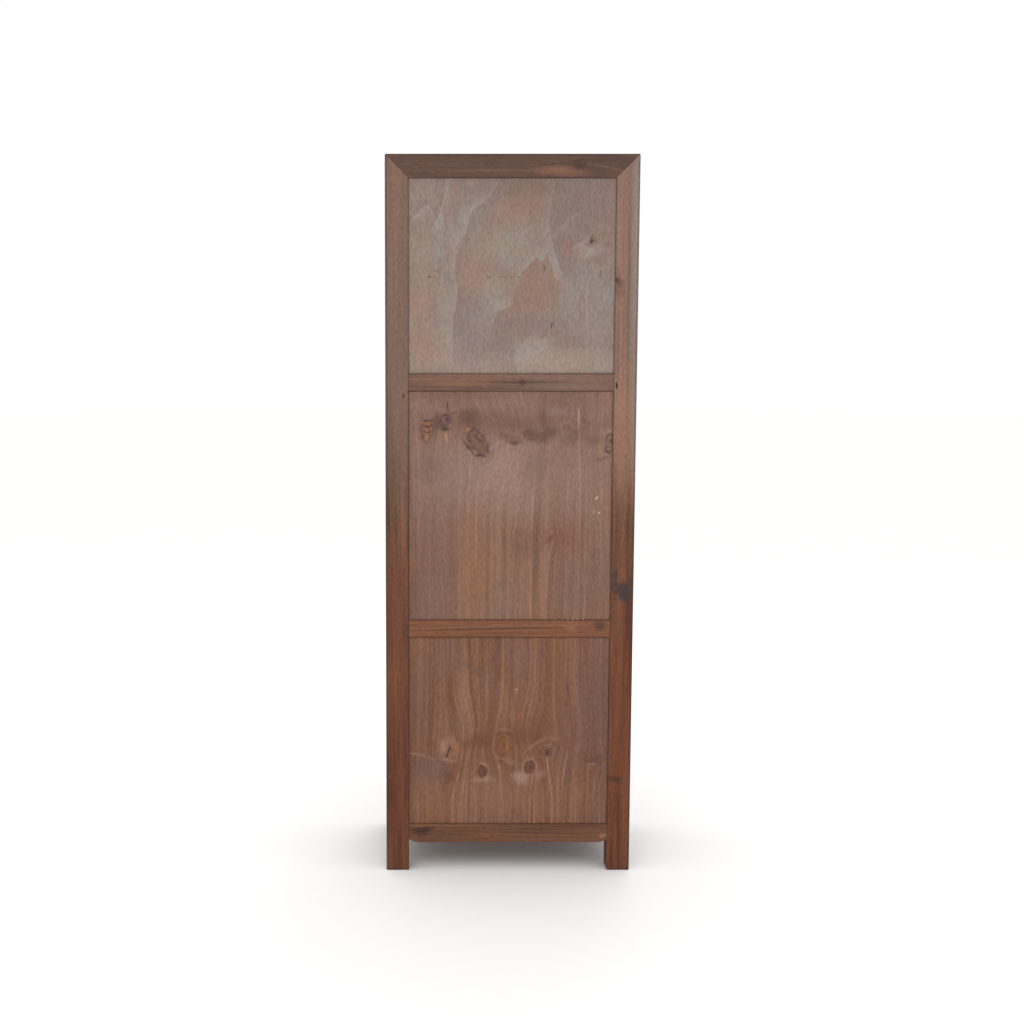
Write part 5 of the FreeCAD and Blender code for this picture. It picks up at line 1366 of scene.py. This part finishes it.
class BOOKCABINET_OT_doors(bpy.types.Operator):
    """Dress the two framed doors"""
    bl_idname = "book_cabinet.doors"
    bl_label = "Doors"

    def execute(self, context):
        elm = context.scene.cabinet_elm
        stiles = oiled_elm("oiled_elm_door_stiles", "Z", elm, pith_mm=(200, -330), seed=9.0)
        rails = oiled_elm("oiled_elm_door_rails", "X", elm, pith_mm=(-330, 200), seed=12.0)
        panels = oiled_elm("oiled_elm_door_panels", "Z", elm, pith_mm=(-40, -230), seed=15.0)
        for hand in HANDS:
            for part, finish, ease in (("hinge_stile", stiles, elm.ease), ("meeting_stile", stiles, elm.ease),
                                       ("rails", rails, elm.ease), ("panels", panels, BOARD_EASE)):
                dress(f"{hand}_door_{part}", finish, ease)
        return {"FINISHED"}


class BOOKCABINET_OT_drawers(bpy.types.Operator):
    """Dress the two drawers"""
    bl_idname = "book_cabinet.drawers"
    bl_label = "Drawers"

    def execute(self, context):
        elm = context.scene.cabinet_elm
        pale, dark = linear("#A3846A"), linear("#83654F")
        fronts = oiled_elm("oiled_elm_drawer_fronts", "X", elm, pith_mm=(-200, 1120), seed=18.0)
        sides = plain_board("bare_softwood_drawer_sides", "Y", pale, dark, seed=2.0, hidden_mm=0,
                            rough=BARE_ROUGH)
        bottoms = plain_board("bare_softwood_drawer_bottoms", "X", pale, dark, seed=4.0, hidden_mm=5,
                              rough=BARE_ROUGH)
        for hand in HANDS:
            for part, finish, ease in (("front", fronts, elm.ease), ("sides", sides, SIDE_EASE),
                                       ("bottom", bottoms, BOARD_EASE)):
                dress(f"{hand}_drawer_{part}", finish, ease)
        return {"FINISHED"}


# door plate: inset from its outline and height over the door in millimetres, and where its field lies
PLATE_STEPS = ((0, 0), (0, 0.8), (0.3, 1.3), (1.1, 1.5), (2.0, 1.3), (2.4, 0.95), (3.4, 0.95), (3.7, 1.2),
               (4.3, 1.2), (4.6, 0.95), (12.0, 0.95), (12.3, 0.75), (12.8, 0.75), (13.1, 0.95))
PLATE_FIELD = 0.95 * MM
# pins round the plate: how far in they stand, where they stand in degrees, and how high their heads are
PIN_INSET = 8 * MM
PIN_TURNS = (-74, -48, -24, 0, 24, 48, 74)
PIN_HEIGHT = 1.0 * MM
# staple that the drop hangs in: half its spread, how far its legs end over the field, and its bends
STAPLE_HALF = 6 * MM
STAPLE_END = 0.4 * MM
STAPLE_BENDS = (0, 1.6 * MM, 1.6 * MM, 0)
# in millimetres: radius and height of the boss round each leg of the staple, and of the rosette under
# each knuckle of a bail
BOSS_PROFILE = ((0, 0.6), (3.1, 0.6), (3.1, 1.5), (2.6, 1.9), (0, 1.9))
ROSETTE_PROFILE = ((0, 0), (9, 0), (9, 0.6), (8.6, 1.0), (7.8, 1.2), (7.1, 1.0), (6.6, 0.7), (5.6, 0.8),
                   (4.6, 1.4), (3.8, 1.9), (3.2, 2.1), (2.6, 2.5), (2.3, 3.1), (2.3, 4.4), (0, 4.4))
# eye of a drop and knuckle of a bail: bore, radius and half length in millimetres
DROP_EYE = (1.55, 4, 4)
KNUCKLE = (1.56, 3.6, 3.5)
# bail: how far its ends turn in past the knuckles, and its bends from one end to the other
BAIL_END = 5 * MM
BAIL_BENDS = (0, 3.2 * MM, 12 * MM, 12 * MM, 3.2 * MM, 0)
# how finely the brass is cut: round the turned forms and the leaf, from the middle of a half-moon
# to its end, and down the flanks and the bowl of a leaf
BOSS_SIDES = 28
ROSETTE_SIDES = 48
KNUCKLE_SIDES = 32
EYE_SIDES = 40
LEAF_SIDES = 20
HALF_MOON_STEPS = 24
FLANK_STEPS = 14
BOWL_STEPS = 10


def half_moon(shape, plate_box, hand):
    """Adds a half-moon plate, raised in steps from its outline to its field."""
    low, high = plate_box
    level, radius = (low.z + high.z) / 2, (high.z - low.z) / 2
    flat = min(abs(low.x), abs(high.x))
    steps = range(-HALF_MOON_STEPS, HALF_MOON_STEPS + 1)
    rings = []
    for inset_mm, height_mm in PLATE_STEPS:
        reach = radius - inset_mm * MM
        turn = math.acos(inset_mm * MM / reach)
        angles = [turn * number / HALF_MOON_STEPS for number in steps]
        rings.append([shape.verts.new((hand * (flat + reach * math.cos(angle)), high.y - height_mm * MM,
                                       level + reach * math.sin(angle))) for angle in angles])
    join_rings(shape, rings)
    shape.faces.new(rings[0])
    shape.faces.new(rings[-1])


def leaf_drop(shape, drop_box):
    """Adds a cast drop: a bored eye, and a slender leaf crowned on both sides."""
    low, high = drop_box
    middle = Vector(((low.x + high.x) / 2, (low.y + high.y) / 2, high.z - DROP_EYE[1] * MM))
    turned(shape, bored_profile(*DROP_EYE), middle, (1, 0, 0), EYE_SIDES)
    # the leaf swells from its neck under the eye to its shoulder, with hollow flanks
    neck, width = 2.2 * MM, (high.x - low.x) / 2
    top, shoulder = middle.z - 2.75 * MM, low.z + width
    hollow, thick = 6 * MM, 1.75 * MM
    flank = [(neck + (width - neck) * t - hollow * t * (1 - t), top + (shoulder - top) * t, 1.0)
             for t in (number / FLANK_STEPS for number in range(FLANK_STEPS + 1))]
    bowl = [(width * math.cos(turn), shoulder - width * math.sin(turn), 0.4 + 0.6 * math.cos(turn))
            for turn in (math.pi / 2 * number / BOWL_STEPS for number in range(1, BOWL_STEPS))]
    turns = [math.tau * n / LEAF_SIDES for n in range(LEAF_SIDES)]
    rings = [[shape.verts.new((middle.x + half * math.cos(turn),
                               middle.y + thick * swell * math.sin(turn), height))
              for turn in turns] for half, height, swell in flank + bowl]
    join_rings(shape, rings)
    shape.faces.new(rings[0])
    tip = shape.verts.new((middle.x, middle.y, low.z))
    for n in range(LEAF_SIDES):
        shape.faces.new((rings[-1][n - 1], rings[-1][n], tip))


class BOOKCABINET_OT_door_brass(bpy.types.Operator):
    """Make the half-moon plates with their pins and staples, and the drops"""
    bl_idname = "book_cabinet.door_brass"
    bl_label = "Door brass"

    def execute(self, context):
        brass = context.scene.cabinet_brass
        finish = aged_brass("aged_brass_doors", brass)
        rod, heads = bent_rod(finish), domed_heads(finish)
        for side, hand in HANDS.items():
            plate_node, drop_node = f"{side}_door_plate", f"{side}_door_drop"
            plate_box, drop_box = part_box(plate_node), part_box(drop_node)
            low, high = plate_box
            field = high.y - PLATE_FIELD
            level, radius = (low.z + high.z) / 2, (high.z - low.z) / 2
            middle = (drop_box[0].x + drop_box[1].x) / 2
            legs = (middle - STAPLE_HALF, middle + STAPLE_HALF)
            sheet = bmesh.new()
            half_moon(sheet, plate_box, hand)
            for leg in legs:
                turned(sheet, BOSS_PROFILE, Vector((leg, high.y, level)), (0, -1, 0), BOSS_SIDES)
            plate = close_shape(sheet, f"{side}_door_plate_sheet", finish)
            inside, front = field + STAPLE_END, low.y + brass.rod_radius
            corners = ((legs[0], inside), (legs[0], front), (legs[1], front), (legs[1], inside))
            staple = rod_through("staple_line", [(across, depth, level) for across, depth in corners],
                                 STAPLE_BENDS, rod, brass.rod_radius)
            ring = radius - PIN_INSET
            flat = min(abs(low.x), abs(high.x))
            spots = [(hand * (flat + ring * math.cos(turn)), field, level + ring * math.sin(turn))
                     for turn in (math.radians(angle) for angle in PIN_TURNS)]
            pins = grow(carrier_mesh("plate_pins", spots), heads,
                        {"Head Radius": brass.pin_radius, "Head Height": PIN_HEIGHT})
            dress_made(plate_node, joined(f"{plate_node}_dressed", [plate, staple, pins]))
            cast = bmesh.new()
            leaf_drop(cast, drop_box)
            dress_made(drop_node, close_shape(cast, f"{drop_node}_dressed", finish))
        return {"FINISHED"}


class BOOKCABINET_OT_drawer_brass(bpy.types.Operator):
    """Make the bails of the drawers and the turned knuckle posts that hold them"""
    bl_idname = "book_cabinet.drawer_brass"
    bl_label = "Drawer brass"

    def execute(self, context):
        brass = context.scene.cabinet_brass
        finish = aged_brass("aged_brass_drawers", brass)
        rod = bent_rod(finish)
        for side in HANDS:
            posts_node, bail_node = f"{side}_bail_posts", f"{side}_bail"
            post_box, bail_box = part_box(posts_node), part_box(bail_node)
            middle = (bail_box[0].x + bail_box[1].x) / 2
            depth = (bail_box[0].y + bail_box[1].y) / 2
            level = bail_box[1].z - brass.rod_radius
            rosette_radius = (post_box[1].z - post_box[0].z) / 2
            stand = (post_box[1].x - post_box[0].x) / 2 - rosette_radius
            cast = bmesh.new()
            for foot in (middle - stand, middle + stand):
                turned(cast, ROSETTE_PROFILE, Vector((foot, post_box[1].y, level)), (0, -1, 0),
                       ROSETTE_SIDES)
                turned(cast, bored_profile(*KNUCKLE), Vector((foot, depth, level)), (1, 0, 0),
                       KNUCKLE_SIDES)
            dress_made(posts_node, close_shape(cast, f"{posts_node}_dressed", finish))
            outer = (bail_box[1].x - bail_box[0].x) / 2 - brass.rod_radius
            inner, low = stand - BAIL_END, bail_box[0].z + brass.rod_radius
            path = [(middle + across, depth, height)
                    for across, height in ((-inner, level), (-outer, level), (-outer, low),
                                           (outer, low), (outer, level), (inner, level))]
            loop = rod_through(f"{bail_node}_dressed", path, BAIL_BENDS, rod, brass.rod_radius)
            soften(loop)
            dress_made(bail_node, loop)
        return {"FINISHED"}


# radius and sides of the floor paper, the lens with its shift to the side, how far the camera
# sees, and the sky
FLOOR_RADIUS = 40.0
FLOOR_SIDES = 96
LENS_MM = 47.47
LENS_SHIFT = 0.089
CAMERA_REACH = 100
SKY_STRENGTH = 1.02
# soft lights: name, place, aim, width, power
SOFT_LIGHTS = (
    ("high_soft_light_behind", (0.6, 3.2, 3.4), (0, 0, 1.2), 2.6, 24),
    ("high_soft_light_before", (-0.8, -3.2, 3.2), (0, 0, 1.0), 2.6, 24),
)


class BOOKCABINET_OT_stage(bpy.types.Operator):
    """Set the pale floor, the soft lights and the camera"""
    bl_idname = "book_cabinet.stage"
    bl_label = "Stage"

    def execute(self, context):
        stage = context.scene.cabinet_stage
        # matt paper off the roll: pale and even, with a faint tooth and hardly any gloss
        paper = new_material("matt_floor_paper")
        tree = paper.node_tree
        place = add(tree, "ShaderNodeTexCoord").outputs["Object"]
        tooth = add(tree, NOISE, {"Vector": place, "Scale": PAPER_TOOTH, "Detail": 2.0})
        bump = add(tree, "ShaderNodeBump", {"Height": tooth, "Strength": 0.1, "Distance": 0.2 * MM})
        skin = add(tree, "ShaderNodeBsdfPrincipled",
                   {"Base Color": tuple(stage.floor), "Roughness": 0.9, "Normal": bump})
        add(tree, "ShaderNodeOutputMaterial", {"Surface": skin})
        mesh = bpy.data.meshes.new("floor_paper")
        sheet = bmesh.new()
        bmesh.ops.create_circle(sheet, cap_ends=True, segments=FLOOR_SIDES, radius=FLOOR_RADIUS)
        sheet.to_mesh(mesh)
        sheet.free()
        mesh.materials.append(paper)
        link_piece("floor_paper", mesh)

        world = bpy.data.worlds.new("pale_studio")
        world.use_nodes = True
        world.node_tree.nodes["Background"].inputs["Color"].default_value = linear("#FFFFFF")
        world.node_tree.nodes["Background"].inputs["Strength"].default_value = SKY_STRENGTH
        context.scene.world = world
        context.scene.view_settings.view_transform = "Standard"

        for name, place, aim, size, power in SOFT_LIGHTS:
            lamp = bpy.data.lights.new(name, "AREA")
            lamp.shape = "DISK"
            lamp.size = size
            lamp.energy = power
            holder = bpy.data.objects.new(name, lamp)
            holder.location = place
            holder.rotation_euler = (Vector(aim) - Vector(place)).to_track_quat("-Z", "Y").to_euler()
            context.scene.collection.objects.link(holder)

        lens = bpy.data.cameras.new("camera")
        lens.lens = LENS_MM
        lens.shift_x = LENS_SHIFT
        lens.clip_end = CAMERA_REACH
        camera = bpy.data.objects.new("camera", lens)
        camera.location = (stage.camera_aside, BACK_FACE + stage.camera_distance, stage.camera_height)
        camera.rotation_euler = (math.pi / 2 - stage.tilt, 0, math.pi)
        context.scene.collection.objects.link(camera)
        context.scene.camera = camera
        return {"FINISHED"}


GROUPS = {
    "cabinet_elm": BOOKCABINET_PG_elm,
    "cabinet_board": BOOKCABINET_PG_board,
    "cabinet_brass": BOOKCABINET_PG_brass,
    "cabinet_stage": BOOKCABINET_PG_stage,
}
STEPS = (
    BOOKCABINET_OT_stage,
    BOOKCABINET_OT_posts,
    BOOKCABINET_OT_rails,
    BOOKCABINET_OT_back_boards,
    BOOKCABINET_OT_back_pins,
    BOOKCABINET_OT_side_boards,
    BOOKCABINET_OT_shelves,
    BOOKCABINET_OT_inner_rails,
    BOOKCABINET_OT_doors,
    BOOKCABINET_OT_drawers,
    BOOKCABINET_OT_door_brass,
    BOOKCABINET_OT_drawer_brass,
)


class BOOKCABINET_PT_sidebar(bpy.types.Panel):
    """The cabinet's sizes, tones and steps"""
    bl_label = "Book cabinet"
    bl_idname = "BOOKCABINET_PT_sidebar"
    bl_space_type = "VIEW_3D"
    bl_region_type = "UI"
    bl_category = "Cabinet"

    def draw(self, context):
        for group, kind in GROUPS.items():
            box = self.layout.box()
            for name in kind.__annotations__:
                box.prop(getattr(context.scene, group), name)
        for step in STEPS:
            self.layout.operator(step.bl_idname)


def register():
    """Adds the cabinet's settings, steps and panel."""
    for kind in (*GROUPS.values(), *STEPS, BOOKCABINET_PT_sidebar):
        bpy.utils.register_class(kind)
    for name, kind in GROUPS.items():
        setattr(bpy.types.Scene, name, bpy.props.PointerProperty(type=kind))


def unregister():
    """Takes them away again."""
    for name in GROUPS:
        delattr(bpy.types.Scene, name)
    for kind in (BOOKCABINET_PT_sidebar, *reversed(STEPS), *reversed(GROUPS.values())):
        bpy.utils.unregister_class(kind)


def main():
    """Runs every step."""
    register()
    for step in STEPS:
        family, name = step.bl_idname.split(".")
        getattr(getattr(bpy.ops, family), name)()


if __name__ == "__main__":
    main()
